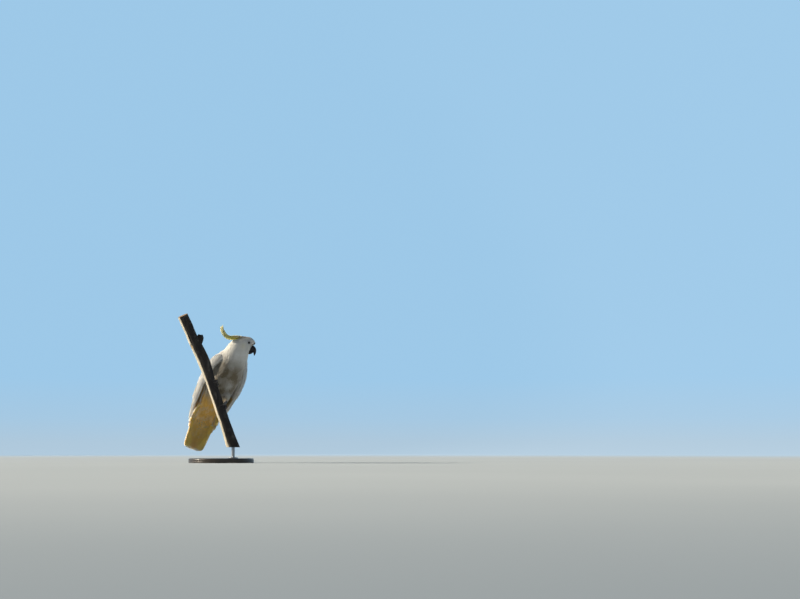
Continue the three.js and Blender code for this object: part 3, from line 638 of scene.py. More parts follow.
lofts = [trunk_rings(-COAT_DEPTH["trunk"]), skull_rings(-COAT_DEPTH["skull"]), sleeve_rings(),
         wing_core_rings(1), wing_core_rings(-1)]
lofts += [thigh_rings(leg, -COAT_DEPTH["thigh"]) for leg in LEGS.values()]
print(len(lofts), "lofts make the flesh")


# %% Where a place is on a thigh
def leg_share(points, leg):
    """Where points lie along a thigh, and their distance out of it as a share of the solid's."""
    hip, ankle = np.array(leg["hip"], float), np.array(leg["ankle"], float)
    way = ankle - hip
    along = np.clip((points - hip) @ way / (way @ way), 0, 1.05)
    away = np.linalg.norm(points - hip - along[:, None] * way, axis=1)
    return along, away / smooth(THIGH_RADIUS, along), unit(way)


for side, leg in LEGS.items():
    print("the", side, "thigh is", round(math.dist(leg["hip"], leg["ankle"])), "mm long")

# %% Melt the lofts into one skin
def melt(name, lofts, voxel, rounds):
    """One closed surface round some lofts that cross, softened for a number of rounds."""
    points, faces, start = [], [], 0
    for rings in lofts:
        own = shut_rings(rings)
        faces += [f + start for f in ring_faces(*rings.shape[:2])]
        points.append(own)
        start += len(own)
    piece = mesh_of(name, np.vstack(points), faces)
    remesh = piece.modifiers.new("melt", "REMESH")
    remesh.mode, remesh.voxel_size = "VOXEL", voxel * MM
    soften = piece.modifiers.new("soften", "SMOOTH")
    soften.factor, soften.iterations = 0.5, rounds
    graph = bpy.context.evaluated_depsgraph_get()
    melted = bpy.data.meshes.new_from_object(piece.evaluated_get(graph))
    piece.modifiers.clear()
    piece.data = melted
    melted.shade_smooth()
    return piece


def mesh_arrays(piece):
    points = np.empty(len(piece.data.vertices) * 3)
    piece.data.vertices.foreach_get("co", points)
    normals = np.empty(len(points))
    piece.data.vertices.foreach_get("normal", normals)
    quads = np.array([list(f.vertices)[:4] for f in piece.data.polygons])
    return points.reshape(-1, 3) / MM, normals.reshape(-1, 3), quads


def fill_creases(piece, share_of, rounds):
    """Averages each point with its neighbours, as far as its share says, for a number of rounds."""
    points, _, quads = mesh_arrays(piece)
    share = share_of(points)[:, None]
    ends = np.vstack([quads[:, [k, (k + 1) % 4]] for k in range(4)])
    count = np.bincount(ends[:, 0], minlength=len(points))[:, None]
    for _ in range(rounds):
        total = np.stack([np.bincount(ends[:, 0], points[ends[:, 1], k], len(points)) for k in range(3)], -1)
        points += share * (total / count - points)
    piece.data.vertices.foreach_set("co", (points * MM).astype(np.float32).ravel())
    piece.data.update()


# %% The skin, with its folds filled
def near_groin(points):
    """High where a thigh meets the belly, so that the trouser feathers run on without a fold."""
    shares = [np.exp(-(((leg_share(points, leg)[1] - 1.05) / 0.45) ** 2)) for leg in LEGS.values()]
    return 0.8 * np.max(shares, 0)


def near_wrist(points):
    """High where the front of a folded wing meets the neck."""
    down = ((points[:, None] - SPINE.at[::8]) ** 2).sum(-1).argmin(1) * 8
    return 0.8 * np.exp(-(((SPINE.down[down] - WING_START + 8) / 26) ** 2))


SKIN_VOXEL = 2.0
skin = melt("skin", lofts, SKIN_VOXEL, rounds=16)
fill_creases(skin, near_groin, rounds=90)
fill_creases(skin, near_wrist, rounds=60)
finish_piece(skin, "body_plumage", WHITE_DOWN, "head", "neck", "torso", "thigh_left", "thigh_right")

# %% Find the skin quickly
SKIN_POINTS, skin_normals, SKIN_FACES = mesh_arrays(skin)
SKIN_TREE = BVHTree.FromPolygons(SKIN_POINTS.tolist(), SKIN_FACES.tolist())
FACE_NORMALS = unit(skin_normals[SKIN_FACES].mean(1))


def on_skin(points):
    """The nearest places on the skin, with its soft outward direction there."""
    found = [SKIN_TREE.find_nearest(p) for p in points.reshape(-1, 3).tolist()]
    near = np.array([hit[0] for hit in found]).reshape(points.shape)
    return near, FACE_NORMALS[[hit[2] for hit in found]].reshape(points.shape)


print("the skin has", len(SKIN_FACES), "faces")

# %% [markdown]
# ## Bill
# A cockatoo's bill is two curved horn sheaths, black under a grey bloom of powder. Each half is a
# loft along its own middle line, as the imported solids are, with many more rings, and its surface is
# then nudged: a shallow dent round each nostril.

# %% Horn finishes
def bill_finish():
    material, tree, shader = new_material("bill_horn")
    bloom = effect(tree, PATCHES, Size=0.006, Low=0.35, High=0.75)
    growth = effect(tree, GRAIN, Width=0.0022, Length=0.0009)
    base = blend_colours(tree, bloom["Mask"], colour(0.005, 0.005, 0.008), colour(0.013, 0.013, 0.019))
    base = blend_colours(tree, times(tree, growth["Mask"], 0.3), base, colour(0.024, 0.023, 0.027))
    rough = maths(tree, "ADD", 0.36, times(tree, bloom["Mask"], 0.25))
    dress(tree, shader, base, rough, growth["Height"], 0.00018, Specular_IOR_Level=0.35)
    return material


def claw_finish():
    material, tree, shader = new_material("claw_horn")
    growth = effect(tree, GRAIN, Width=0.0012, Length=0.004)
    base = blend_colours(tree, growth["Mask"], colour(0.022, 0.019, 0.018), colour(0.075, 0.062, 0.056))
    dress(tree, shader, base, 0.38, growth["Height"], 0.00012)
    return material


BILL_HORN, CLAW_HORN = bill_finish(), claw_finish()
print("finishes:", BILL_HORN.name, CLAW_HORN.name)

# %% Upper and lower bill
UPPER_BILL = {
    "line": [[-2, -20], [12, -20.5], [25, -23], [31, -30], [33, -39], [32, -50.5]],
    "over": [[0, 13], [0.3, 13.5], [0.5, 11.5], [0.7, 8], [0.87, 4.6], [1, 0.8]],
    "under": [[0, 13], [0.3, 12.5], [0.5, 9.5], [0.7, 6], [0.87, 3.4], [1, 0.8]],
    "wide": [[0, 11], [0.3, 11], [0.55, 9.6], [0.75, 6.8], [0.9, 3.6], [1, 0.8]],
}
LOWER_BILL = {
    "line": [[-6, -35], [4, -37.5], [14, -37.5], [22, -34.5], [26, -31.5]],
    "over": [[0, 7.5], [0.4, 7], [0.7, 5], [0.9, 3], [1, 1.3]],
    "under": [[0, 7.5], [0.4, 7.5], [0.7, 6.2], [0.9, 3.5], [1, 1.3]],
    "wide": [[0, 9.5], [0.4, 9.5], [0.7, 8.2], [0.9, 6], [1, 4]],
}
NOSTRIL = {"ahead": 27, "up": -10, "out": 5.5, "dent": 1.5, "size": 1.9}
BILL_SIDES, BILL_STEPS = 56, 64


def bill_rings(bill):
    line = Line([head_at(ahead, up, 0) for ahead, up in bill["line"]])
    share = np.linspace(0, 1, BILL_STEPS + 1)
    at, way = line.by_share(share)
    side = np.ones((len(share), 1)) * HEAD_LEFT
    wide, over, under = (smooth(bill[k], share) for k in ("wide", "over", "under"))
    return oval_rings(at, side, unit(np.cross(way, side)), wide, over, under, BILL_SIDES)


def dent(points, centre, depth, size):
    """Pushes points towards the head's middle plane round a centre."""
    near = np.exp(-(((points - centre) ** 2).sum(-1)) / size**2)
    inward = -np.sign((centre - EYES_AT) @ HEAD_LEFT) * HEAD_LEFT
    return points + (near * depth)[:, None] * inward


def bill_piece(name, bill, node_name):
    points = shut_rings(bill_rings(bill))
    for sign in (1, -1):
        centre = head_at(NOSTRIL["ahead"], NOSTRIL["up"], sign * NOSTRIL["out"])
        points = dent(points, centre, NOSTRIL["dent"], NOSTRIL["size"])
    piece = mesh_of(name, points, ring_faces(BILL_STEPS + 1, BILL_SIDES))
    return finish_piece(piece, "bill", BILL_HORN, node_name)


bill_pieces = [bill_piece("bill_upper", UPPER_BILL, "upper_bill"),
               bill_piece("bill_lower", LOWER_BILL, "lower_bill")]

# %% [markdown]
# ## Eyes
# The eye is a ball that is almost all pupil, dark brown round it, under a clear bulge that catches
# the light. A ring of bare wrinkled skin frames it. The colour changes with the angle from the
# eye's own axis, a value that the mesh carries.

# %% Eye finishes
def eye_finish():
    material, tree, shader = new_material("eye_gloss")
    off = carried(tree, "off_axis")
    iris = soft_step(tree, off, 0.42, 0.5)
    base = blend_colours(tree, iris, colour(0.002, 0.002, 0.002), colour(0.014, 0.006, 0.004))
    dress(tree, shader, base, 0.08, Coat_Weight=0.35, Coat_Roughness=0.02, Specular_IOR_Level=0.35)
    return material


def eye_ring_finish():
    material, tree, shader = new_material("eye_ring_skin")
    folds = effect(tree, CELLS, Size=0.0007, Crease=0.14)
    # painted shade: the creases between the folds are darker
    base = blend_colours(tree, folds["Crease"], colour(0.68, 0.68, 0.69), colour(0.46, 0.45, 0.46))
    dress(tree, shader, base, 0.6, folds["Height"], 0.00015, Subsurface_Weight=0.1, Subsurface_Scale=0.002)
    return material


EYE_GLOSS, EYE_RING_SKIN = eye_finish(), eye_ring_finish()
print("finishes:", EYE_GLOSS.name, EYE_RING_SKIN.name)

# %% Eyes and their rings
EYE = {"radius": 5.5, "out": 21, "ring": 6.5, "lid": 1.8, "lip": 0.75, "stand": 23.8,
       "clear": 7.4, "bare": 8.4}  # no tip within clear of an eye, and no root within bare
EYE_STEPS, EYE_SIDES = 40, 48
RING_SIDES, LID_SIDES = 192, 20


def eye_piece(side, sign):
    off = np.linspace(0.02, math.pi - 0.02, EYE_STEPS)
    round_ = full_turn(EYE_SIDES)
    bulge = 1 + 0.05 * np.exp(-((off / 0.6) ** 2))
    radius = EYE["radius"] * bulge
    out = EYE["out"] + radius * np.cos(off)
    ahead = (radius * np.sin(off))[:, None] * np.cos(round_)
    up = (radius * np.sin(off))[:, None] * np.sin(round_)
    rings = head_at(ahead, up, sign * out[:, None] + 0 * ahead)
    values = {"off_axis": np.concatenate([np.repeat(off, EYE_SIDES), [0, math.pi]])}
    piece = mesh_of("eyeball_" + side, shut_rings(rings), ring_faces(EYE_STEPS, EYE_SIDES), values)
    return finish_piece(piece, "eye", EYE_GLOSS, "eye_" + side)


def eye_ring_piece(side, sign):
    """A flat puckered ring of skin round the ball, with a thicker lip at its inner edge."""
    round_ = full_turn(RING_SIDES)[:, None]
    tube = full_turn(LID_SIDES)
    fold = 0.10 * np.sin(29 * round_) + 0.07 * np.sin(47 * round_ + 1)
    lid = EYE["lid"] * (1 + 0.15 * np.cos(round_ - 2.6))
    reach = EYE["ring"] + lid * np.cos(tube)
    # the lids close a little over the ball, more above than below
    squint = 1 - 0.12 * np.maximum(0, np.sin(round_)) ** 2 * (np.cos(tube) < 0) * -np.cos(tube)
    ahead, up = reach * np.cos(round_) * 1.03, reach * np.sin(round_) * 0.95 * squint
    lip = EYE["lip"] * (1.1 - 0.45 * np.cos(tube)) * (1 + fold)
    out = EYE["stand"] + lip * np.sin(tube) - 0.10 * (reach - EYE["ring"]) ** 2 - 0.3 * np.cos(round_)
    points = head_at(ahead, up, sign * out).reshape(-1, 3)
    a = np.arange(RING_SIDES)[:, None] * LID_SIDES + np.arange(LID_SIDES)
    b = np.roll(a, -1, 0)
    faces = np.stack([a, np.roll(a, -1, 1), np.roll(b, -1, 1), b], -1).reshape(-1, 4)
    piece = mesh_of("eye_ring_" + side, points, [faces if sign < 0 else faces[:, ::-1]])
    return finish_piece(piece, "eye", EYE_RING_SKIN)


def eye_distance(points):
    """How far points are from the nearer eye."""
    eyes = [head_at(0, 0, sign * EYE["stand"]) for sign in (1, -1)]
    return np.min([np.linalg.norm(points - eye, axis=1) for eye in eyes], 0)


for side, sign in (("left", 1), ("right", -1)):
    eye_piece(side, sign)
    eye_ring_piece(side, sign)

# %% [markdown]
# ## Feathers
# Each feather is a thin closed lens: a grid of points on its outer face, a second one just under
# it, and a shared edge. Its grid is laid out in the directions of whatever carries it, so the same
# few lines make a face feather three millimetres long and a tail feather of a hundred. They are
# solid meshes rather than hair, so they keep their shape in any other program.

# %% How feathers are shaped
ROUND_TIP = [[0, 0.35], [0.25, 0.8], [0.55, 1], [0.8, 0.93], [0.93, 0.7], [1, 0.3]]
QUILL_TIP = [[0, 0.4], [0.3, 0.85], [0.7, 1], [0.88, 0.86], [0.96, 0.6], [1, 0.22]]
SQUARE_TIP = [[0, 0.8], [0.35, 0.96], [0.75, 1], [0.92, 0.93], [0.98, 0.72], [1, 0.48]]
PLUME_TIP = [[0, 0.5], [0.2, 0.8], [0.4, 0.95], [0.6, 1], [0.8, 1], [0.92, 0.85], [0.98, 0.6], [1, 0.35]]
EVEN_SIDES = {n: np.linspace(-1, 1, n) for n in (7, 9)}
SHAFT_SIDES = np.array([-1, -0.92, -0.7, -0.4, -0.18, -0.06, 0, 0.06, 0.18, 0.4, 0.7, 0.92, 1])


def kind(outline, rows, sides, thick, camber, rounding, ragged, ridge=0.0, shaft=0.5, nod=0.0):
    """A way of shaping feathers. camber bows the vane, rounding shortens its sides, ragged frays its
    tip, ridge raises the shaft, shaft is the share of the width before it, and nod lowers the tip."""
    steps = 1 - (1 - np.linspace(0, 1, rows)) ** 1.25
    return dict(outline=outline, steps=steps, sides=sides, thick=thick, camber=camber,
                rounding=rounding, ragged=ragged, ridge=ridge, shaft=shaft, nod=nod)


FACE_KIND = kind(ROUND_TIP, 5, EVEN_SIDES[7], 0.12, 0.32, 0.25, 0.05, nod=0.25)
BODY_KIND = kind(ROUND_TIP, 8, EVEN_SIDES[9], 0.16, 0.30, 0.28, 0.03, nod=0.22)
COVERT_KIND = kind(ROUND_TIP, 10, EVEN_SIDES[9], 0.3, 0.16, 0.3, 0.012, nod=0.06)
QUILL_KIND = kind(QUILL_TIP, 26, SHAFT_SIDES, 0.5, 0.1, 0.25, 0.002, ridge=0.45, shaft=0.32)
TAIL_KIND = kind(SQUARE_TIP, 26, SHAFT_SIDES, 0.5, 0.06, 0.2, 0.002, ridge=0.45)
PLUME_KIND = kind(PLUME_TIP, 22, SHAFT_SIDES, 0.5, 0.12, 0.3, 0.006, ridge=0.3)
print("a body feather has", 4 * (len(BODY_KIND["steps"]) - 1) * (len(BODY_KIND["sides"]) - 1), "triangles")


# %% Grids of points for many feathers at once
def feather_grids(place, root, tip, width, how, draws, roll=0.0):
    """root and tip are [along, across, out] a feather. place gives points for a list of heights."""
    u, v = how["steps"][None, :, None], how["sides"][None, None, :]
    root, tip = (np.asarray(x, float)[:, None, None, :] for x in (root, tip))
    widest = np.asarray(width, float)[:, None, None] / 2
    half = widest * smooth(how["outline"], u)
    lean = np.where(v < 0, 2 * how["shaft"], 2 - 2 * how["shaft"])
    aside = half * v * lean
    centre = mix(root, tip, u[..., None])
    reach = tip[..., 0] - root[..., 0]
    fray = draws.uniform(-1, 1, (len(root), 1, v.shape[2])) * how["ragged"] * reach * u**3
    along = centre[..., 0] - how["rounding"] * half * v**2 * u**3 + fray
    across = centre[..., 1] + aside
    roll = np.asarray(roll, float).reshape(-1, 1, 1)
    shaft = how["ridge"] * (np.abs(v) < 0.05) * (1 - 0.7 * u)
    bow = how["camber"] * aside**2 / widest + how["nod"] * widest * u**5
    out = centre[..., 2] - bow - roll * v / 2 + shaft
    under = out - how["thick"] * (1 - v**2) - shaft * 1.6
    tops, bottoms = place(along, across, [out, under])
    vane = np.stack([aside, u * reach + 0 * aside], -1) * MM
    return tops, bottoms, vane


# %% One piece from many feathers
PATCH = 0.003  # a small feather's share of the bake map


def feather_piece(name, grids, baked_at, patch, wash, painted_backlight, tone, dust=0.0):
    """One mesh of feathers. baked_at is each feather's corner on the unwrapped skin."""
    tops, bottoms, vane = grids
    many, rows, sides = tops.shape[:3]
    index = np.arange(many * rows * sides).reshape(many, rows, sides)
    below = index.copy()
    inner = many * (rows - 2) * (sides - 2)
    below[:, 1:-1, 1:-1] = index.size + np.arange(inner).reshape(many, rows - 2, sides - 2)

    def quads(i):
        corners = [i[:, :-1, :-1], i[:, :-1, 1:], i[:, 1:, 1:], i[:, 1:, :-1]]
        return np.stack(corners, -1).reshape(-1, 4)

    middle = (many // 2, rows // 2, sides // 2)
    i, j, k = middle
    face = np.cross(tops[i, j, k + 1] - tops[middle], tops[i, j + 1, k] - tops[middle])
    upward = face @ (tops[middle] - bottoms[middle]) > 0
    over, under = (quads(index), quads(below)[:, ::-1]) if upward else (quads(index)[:, ::-1], quads(below))

    def both(top, bottom):
        shape = (many, rows, sides) + top.shape[3:]
        top, bottom = np.broadcast_to(top, shape), np.broadcast_to(bottom, shape)
        tail = shape[3:]
        return np.concatenate([top.reshape((-1,) + tail), bottom[:, 1:-1, 1:-1].reshape((-1,) + tail)])

    grid = np.stack(np.meshgrid(np.linspace(0, 1, rows), np.linspace(0, 1, sides), indexing="ij"), -1)
    baked = np.asarray(baked_at)[:, None, None] + grid[None, :, :, ::-1] * np.asarray(patch)
    rim = np.zeros((many, rows, sides), bool)
    rim[:, 0], rim[:, -1], rim[:, :, 0], rim[:, :, -1] = True, True, True, True
    values = {label: both(*(np.asarray(x, float) for x in pair))
              for label, pair in (("wash", wash), ("painted_backlight", painted_backlight))}
    tone = np.asarray(tone, float)[:, None, None]
    values["tone"] = both(tone, tone)
    # dust carries real dust and, on the body's front, painted shade
    values["dust"] = both(*[np.asarray(dust, float)] * 2)
    maps = {"OFBake": both(baked, baked), "vane": both(vane, vane)}
    rims = both(rim, np.zeros_like(rim))
    return mesh_of(name, both(tops, bottoms), [over, under], values, maps, rims)

# %% [markdown]
# ## Where body feathers grow
# Birds grow contour feathers all over in rows, small at the face and longer towards the tail. One
# distance says most of it: how far a place is from the bill. It sets each feather's length, the
# space to the next, and the depth of the coat. Roots are scattered by throwing darts: a dart that
# lands too near an earlier one is taken away, which spaces them evenly without a visible grid.

# %% Reading a place on the skin
BILL_ROOT = head_at(30, -14, 0)
FEATHER_LENGTH = [[8, 3.0], [22, 4.4], [45, 7.5], [75, 12], [110, 17], [160, 23], [280, 27], [400, 38]]
COAT_HEIGHT = [[8, 2.2], [22, 2.3], [45, 2.6], [75, 3.6], [110, 4.7], [420, 5.2]]
SPACING_SHARE = [[8, 0.30], [45, 0.21], [110, 0.17], [280, 0.17], [400, 0.15]]
WRIST = {"from": -34, "to": 22, "size": 0.62}  # where the wing's small front feathers grow
SLEEVE = [318, 346]  # where body feathers grow on round the tail's root
# how far out a head, trunk or thigh reaches, as a share of the solid's depth
REACH = {"head": 1.12, "trunk": 1.06, "thigh": 1.1, "trousers": 1.15}
BARE = {"under_wing": 16, "wing_length": 215, "near_bill": 48, "bill": 0.3}
down_table = np.arange(-20, 420, 2.0)
spine_table = spine_at(down_table)


def round_trunk(points):
    """How far down the middle line points are, their angle round it from left to back, and their
    distance out as a share of the solid's."""
    out = np.empty((len(points), 3))
    for k in range(0, len(points), 4000):
        some = points[k : k + 4000]
        nearest = ((some[:, None] - spine_table[0]) ** 2).sum(-1).argmin(1)
        away = some - spine_table[0][nearest]
        left = (away * spine_table[2][nearest]).sum(-1)
        back = (away * spine_table[3][nearest]).sum(-1)
        down = down_table[nearest]
        deep = np.where(back > 0, smooth(TRUNK["back"], down), smooth(TRUNK["breast"], down))
        share = np.hypot(left / smooth(TRUNK["width"], down), back / deep)
        out[k : k + 4000] = np.stack([down, np.arctan2(back, left), share], -1)
    return out.T


def skull_share(points):
    """Distance out of the head's middle line, as a share of the solid's."""
    ahead, up, left = head_sizes(points)
    top, bottom = smooth(SKULL["top"], ahead), smooth(SKULL["bottom"], ahead)
    share = np.hypot(left / smooth(SKULL["width"], ahead), (up - (top + bottom) / 2) * 2 / (top - bottom))
    return np.where((ahead > -58) & (ahead < 40), share, 9.0)


def under_wing(down, angle, inset):
    """Whether a folded wing covers a place on the trunk, by a margin in millimetres."""
    along = down - WING_START
    low, high = smooth(WING["belly"], along) + inset, smooth(WING["spineward"], along) - inset
    hidden = np.zeros(len(down), bool)
    for sign in (1, -1):
        turn = angle if sign > 0 else np.arctan2(np.sin(angle), -np.cos(angle))
        across = turn * (smooth(WING["side"], along) + smooth(WING["back"], along)) / 2
        hidden |= (across > low) & (across < high) & (along > inset / 2) & (along < BARE["wing_length"])
    return hidden


print("feathers grow from", FEATHER_LENGTH[0][1], "mm at the bill to", FEATHER_LENGTH[-1][1], "at the tail")

# %% Where no feather grows
BILL_TREES = [BVHTree.FromObject(piece, bpy.context.evaluated_depsgraph_get()) for piece in bill_pieces]


def in_bill(points, margin):
    """Whether points lie in the bill or within a margin of it."""
    found = np.zeros(len(points), bool)
    for tree in BILL_TREES:
        for i, p in enumerate(points * MM):
            near, normal, _, far = tree.find_nearest(Vector(p))
            found[i] |= far < margin * MM or (Vector(p) - near).dot(normal) < 0
    return found


def scatter_roots(seed, tries):
    """Evenly spread places on the skin, with the skin's direction out, and what each is part of."""
    draws = np.random.default_rng(seed)
    corners = SKIN_POINTS[SKIN_FACES]
    middle = corners.mean(1)
    area = np.linalg.norm(np.cross(corners[:, 2] - corners[:, 0], corners[:, 3] - corners[:, 1]), axis=1) / 2
    far = np.linalg.norm(middle - BILL_ROOT, axis=1)
    spacing = smooth(FEATHER_LENGTH, far) * smooth(SPACING_SHARE, far)
    chance = area / spacing**2
    face = draws.choice(len(area), tries, p=chance / chance.sum())
    s, t = draws.uniform(0, 1, (2, tries, 1))
    a, b, c, d = (corners[face, k] for k in range(4))
    points = mix(mix(a, b, s), mix(d, c, s), t)
    down, angle, trunk = round_trunk(points)
    head = skull_share(points) < REACH["head"]
    thigh = np.zeros(tries, bool)
    for leg in LEGS.values():
        along, share, _ = leg_share(points, leg)
        thigh |= (share < REACH["thigh"]) & (trunk > 0.99) & (along < 1)
    wrist = (down > WING_START + WRIST["from"]) & (down < WING_START + WRIST["to"])
    wrist &= trunk >= REACH["trunk"]
    grows = head | thigh | ((trunk < REACH["trunk"]) & ~under_wing(down, angle, BARE["under_wing"]))
    grows |= wrist | ((down > SLEEVE[0]) & (down < SLEEVE[1]))
    grows &= eye_distance(points) > EYE["bare"]
    near_bill = np.linalg.norm(points - BILL_ROOT, axis=1) < BARE["near_bill"]
    grows[near_bill] &= ~in_bill(points[near_bill], BARE["bill"])
    keep = np.flatnonzero(grows)
    space = spacing[face] * np.where(wrist, WRIST["size"], 1)
    return points[keep], FACE_NORMALS[face[keep]], space[keep], thigh[keep], head[keep], wrist[keep]


print(len(BILL_TREES), "halves of the bill keep feathers out")

# %% Throw the darts
def thin_out(points, spacing):
    """The darts that stay, the first one first."""
    tree = KDTree(len(points))
    for i, p in enumerate(points):
        tree.insert(p, i)
    tree.balance()
    waiting = np.ones(len(points), bool)
    kept = []
    for i, p in enumerate(points):
        if waiting[i]:
            kept.append(i)
            for _, j, _ in tree.find_range(p, spacing[i]):
                waiting[j] = False
    return np.array(kept)


darts = scatter_roots(seed=7, tries=140000)
stays = thin_out(darts[0], darts[2])
ROOTS, ROOT_NORMALS, _, ON_THIGH, ON_HEAD, ON_WRIST = (part[stays] for part in darts)
print(len(ROOTS), "body feathers,", int(ON_HEAD.sum()), "on the head,", int(ON_THIGH.sum()), "on the thighs")

# %% [markdown]
# ## The lie of the coat
# Feathers point away from the bill over the head, turn down the neck, and follow the body to the
# tail. On the thighs they point down the leg. The direction is worked out at each root and then
# laid flat on the skin.

# %% Which way each feather points
def lie_of(points, normals, thigh):
    away = points - BILL_ROOT
    far = np.linalg.norm(away, axis=1)
    down = round_trunk(points)[0]
    tailward = spine_at(down)[1]
    way = mix(unit(away), tailward, ease(45, 105, far)[:, None])
    for leg in LEGS.values():
        along, share, leg_way = leg_share(points, leg)
        near = thigh & (share < REACH["trousers"])
        way[near] = mix(tailward[near], leg_way, ease(0, 0.5, along[near])[:, None])
    flat = way - (way * normals).sum(-1, keepdims=True) * normals
    return unit(flat)


LIE = lie_of(ROOTS, ROOT_NORMALS, ON_THIGH)
tips = ROOTS + LIE * smooth(FEATHER_LENGTH, np.linalg.norm(ROOTS - BILL_ROOT, axis=1))[:, None]
clear = eye_distance(tips) >= EYE["clear"]
ROOTS, ROOT_NORMALS, LIE = ROOTS[clear], ROOT_NORMALS[clear], LIE[clear]
ON_THIGH, ON_WRIST = ON_THIGH[clear], ON_WRIST[clear]
print(int((~clear).sum()), "feathers left out, whose tips would cover an eye")


# %% Lay a feather on the skin
def drape(roots, lie, side):
    """A way to place a feather's points: flat out from its root, then down onto the skin."""
    def place(along, across, heights):
        flat = (roots[:, None, None] + along[..., None] * lie[:, None, None]
                + across[..., None] * side[:, None, None])
        near, outward = on_skin(flat)
        return [near + height[..., None] * outward for height in heights]

    return place


HEAD_MAP = {"front": 40, "length": 100, "share": 0.3}
TRUNK_MAP = {"front": -20, "length": 440, "start": 0.32, "share": 0.66}


def unwrapped(points):
    """Each root's place on the skin, unrolled round the head or round the trunk."""
    down, angle, _ = round_trunk(points)
    ahead, up, out = head_sizes(points)
    head = skull_share(points) < REACH["head"]
    u = np.where(head, np.arctan2(up + 12, out), angle) / (2 * math.pi) + 0.5
    on_head = (HEAD_MAP["front"] - ahead) / HEAD_MAP["length"] * HEAD_MAP["share"]
    on_trunk = (down - TRUNK_MAP["front"]) / TRUNK_MAP["length"] * TRUNK_MAP["share"]
    v = np.where(head, on_head, TRUNK_MAP["start"] + on_trunk)
    return np.stack([u * (1 - 2 * PATCH) + PATCH, v * (1 - 2 * PATCH) + PATCH], -1)


# %% Yellow places, painted backlight, and dust with painted shade
EAR = {"ahead": -20, "up": -16, "out": 12, "size": 12, "wash": 0.12}
# the vent's golden brown is painted backlight
VENT = {"from": 190, "full": 240, "wash": 0.10, "painted_backlight": 0.95, "specks": 0.12}  # golden towards the tail
# The front is darker, partly dust and partly painted shade where it faces away from the key light; a few
# spots are darkened less.
FRONT_DUST_AND_SHADE = {"from": 25, "full": 100, "least": 0.8, "size": 24}  # a perching bird's dusty front
LESS_DARKENED_SPOTS = [{"down": 147, "angle": -68, "size": 15}, {"down": 200, "angle": -60, "size": 20}]  # cleaner spots


def clouds(points, size, seed):
    """Soft random numbers from 0 to 1 that change over about a size in millimetres."""
    shift = Vector((seed * 11.3, 0, 0))
    return np.array([0.5 + 0.5 * noise.noise(Vector(p / size) + shift) for p in points])


def body_wash(points):
    """How yellow the coat is, and where it has painted backlight, dust and painted shade: pale
    yellow ears, a front darkened by dust and painted shade, and a vent painted golden as if backlit.
    """
    ahead, up, out = head_sizes(points)
    away = np.hypot(ahead - EAR["ahead"], up - EAR["up"])
    ear = EAR["wash"] * np.exp(-((away / EAR["size"]) ** 2)) * (np.abs(out) > EAR["out"])
    down, angle, _ = round_trunk(points)
    # painted shade: the side that faces forward, away from the key light, is darkened
    facing = ease(-0.2, 0.7, -np.sin(angle))
    lightened = 0 * down
    for spot in LESS_DARKENED_SPOTS:
        away = np.hypot(down - spot["down"], np.degrees(angle) - spot["angle"])
        lightened = np.maximum(lightened, np.exp(-((away / spot["size"]) ** 2)))
    # painted backlight: the vent is painted golden brown, as if lit through from behind
    vent = ease(VENT["from"], VENT["full"], down) * ease(-0.35, 0.35, -np.sin(angle))
    patchy = mix(FRONT_DUST_AND_SHADE["least"], 1, ease(0.38, 0.62, clouds(points, FRONT_DUST_AND_SHADE["size"], 1)))
    dust = ease(FRONT_DUST_AND_SHADE["from"], FRONT_DUST_AND_SHADE["full"], down) * (1 - 0.6 * vent) * facing
    dust = dust * patchy * (1 - 0.45 * lightened)
    gold = vent * (0.72 + 0.28 * ease(0.4, 0.6, clouds(points, 17, 2)))
    specks = VENT["specks"] * vent * clouds(points, 13, 3)
    return ear + VENT["wash"] * vent, VENT["painted_backlight"] * gold, dust + specks


print("the belly turns golden from", VENT["from"], "mm down the middle line")


# %% The body coat
def coat_piece(name, chosen, how, seed):
    draws = np.random.default_rng(seed)
    roots, normals, lie = ROOTS[chosen], ROOT_NORMALS[chosen], LIE[chosen]
    many = len(roots)
    turn = draws.normal(0, 0.12, many)[:, None]
    side = np.cross(normals, lie)
    lie = unit(lie + turn * side)
    side = np.cross(normals, lie)
    far = np.linalg.norm(roots - BILL_ROOT, axis=1)
    slim = np.where(ON_WRIST[chosen], WRIST["size"], 1)
    for leg in LEGS.values():
        along, share, _ = leg_share(roots, leg)
        slim = np.where(ON_THIGH[chosen] & (share < REACH["trousers"]), 1 - 0.55 * along, slim)
    length = smooth(FEATHER_LENGTH, far) * draws.uniform(0.86, 1.14, many) * slim
    width = length * draws.uniform(0.56, 0.68, many)
    height = smooth(COAT_HEIGHT, far) * draws.uniform(0.94, 1.04, many) * np.minimum(1, slim * 1.5)
    root = np.stack([0 * length, 0 * length, 0.12 * height], -1)
    tip = np.stack([length, 0 * length, height], -1)
    roll = draws.normal(0, 0.12, many) * height / 3
    grids = feather_grids(drape(roots, lie, side), root, tip, width, how, draws, roll)
    wash, painted_backlight, dust = (value[:, None, None] for value in body_wash(roots))
    piece = feather_piece(name, grids, unwrapped(roots), [PATCH, PATCH], (wash, wash * 1.5), (painted_backlight, painted_backlight),
                          draws.uniform(0, 1, many), dust)
    return finish_piece(piece, "body_plumage", WHITE_PLUMAGE)


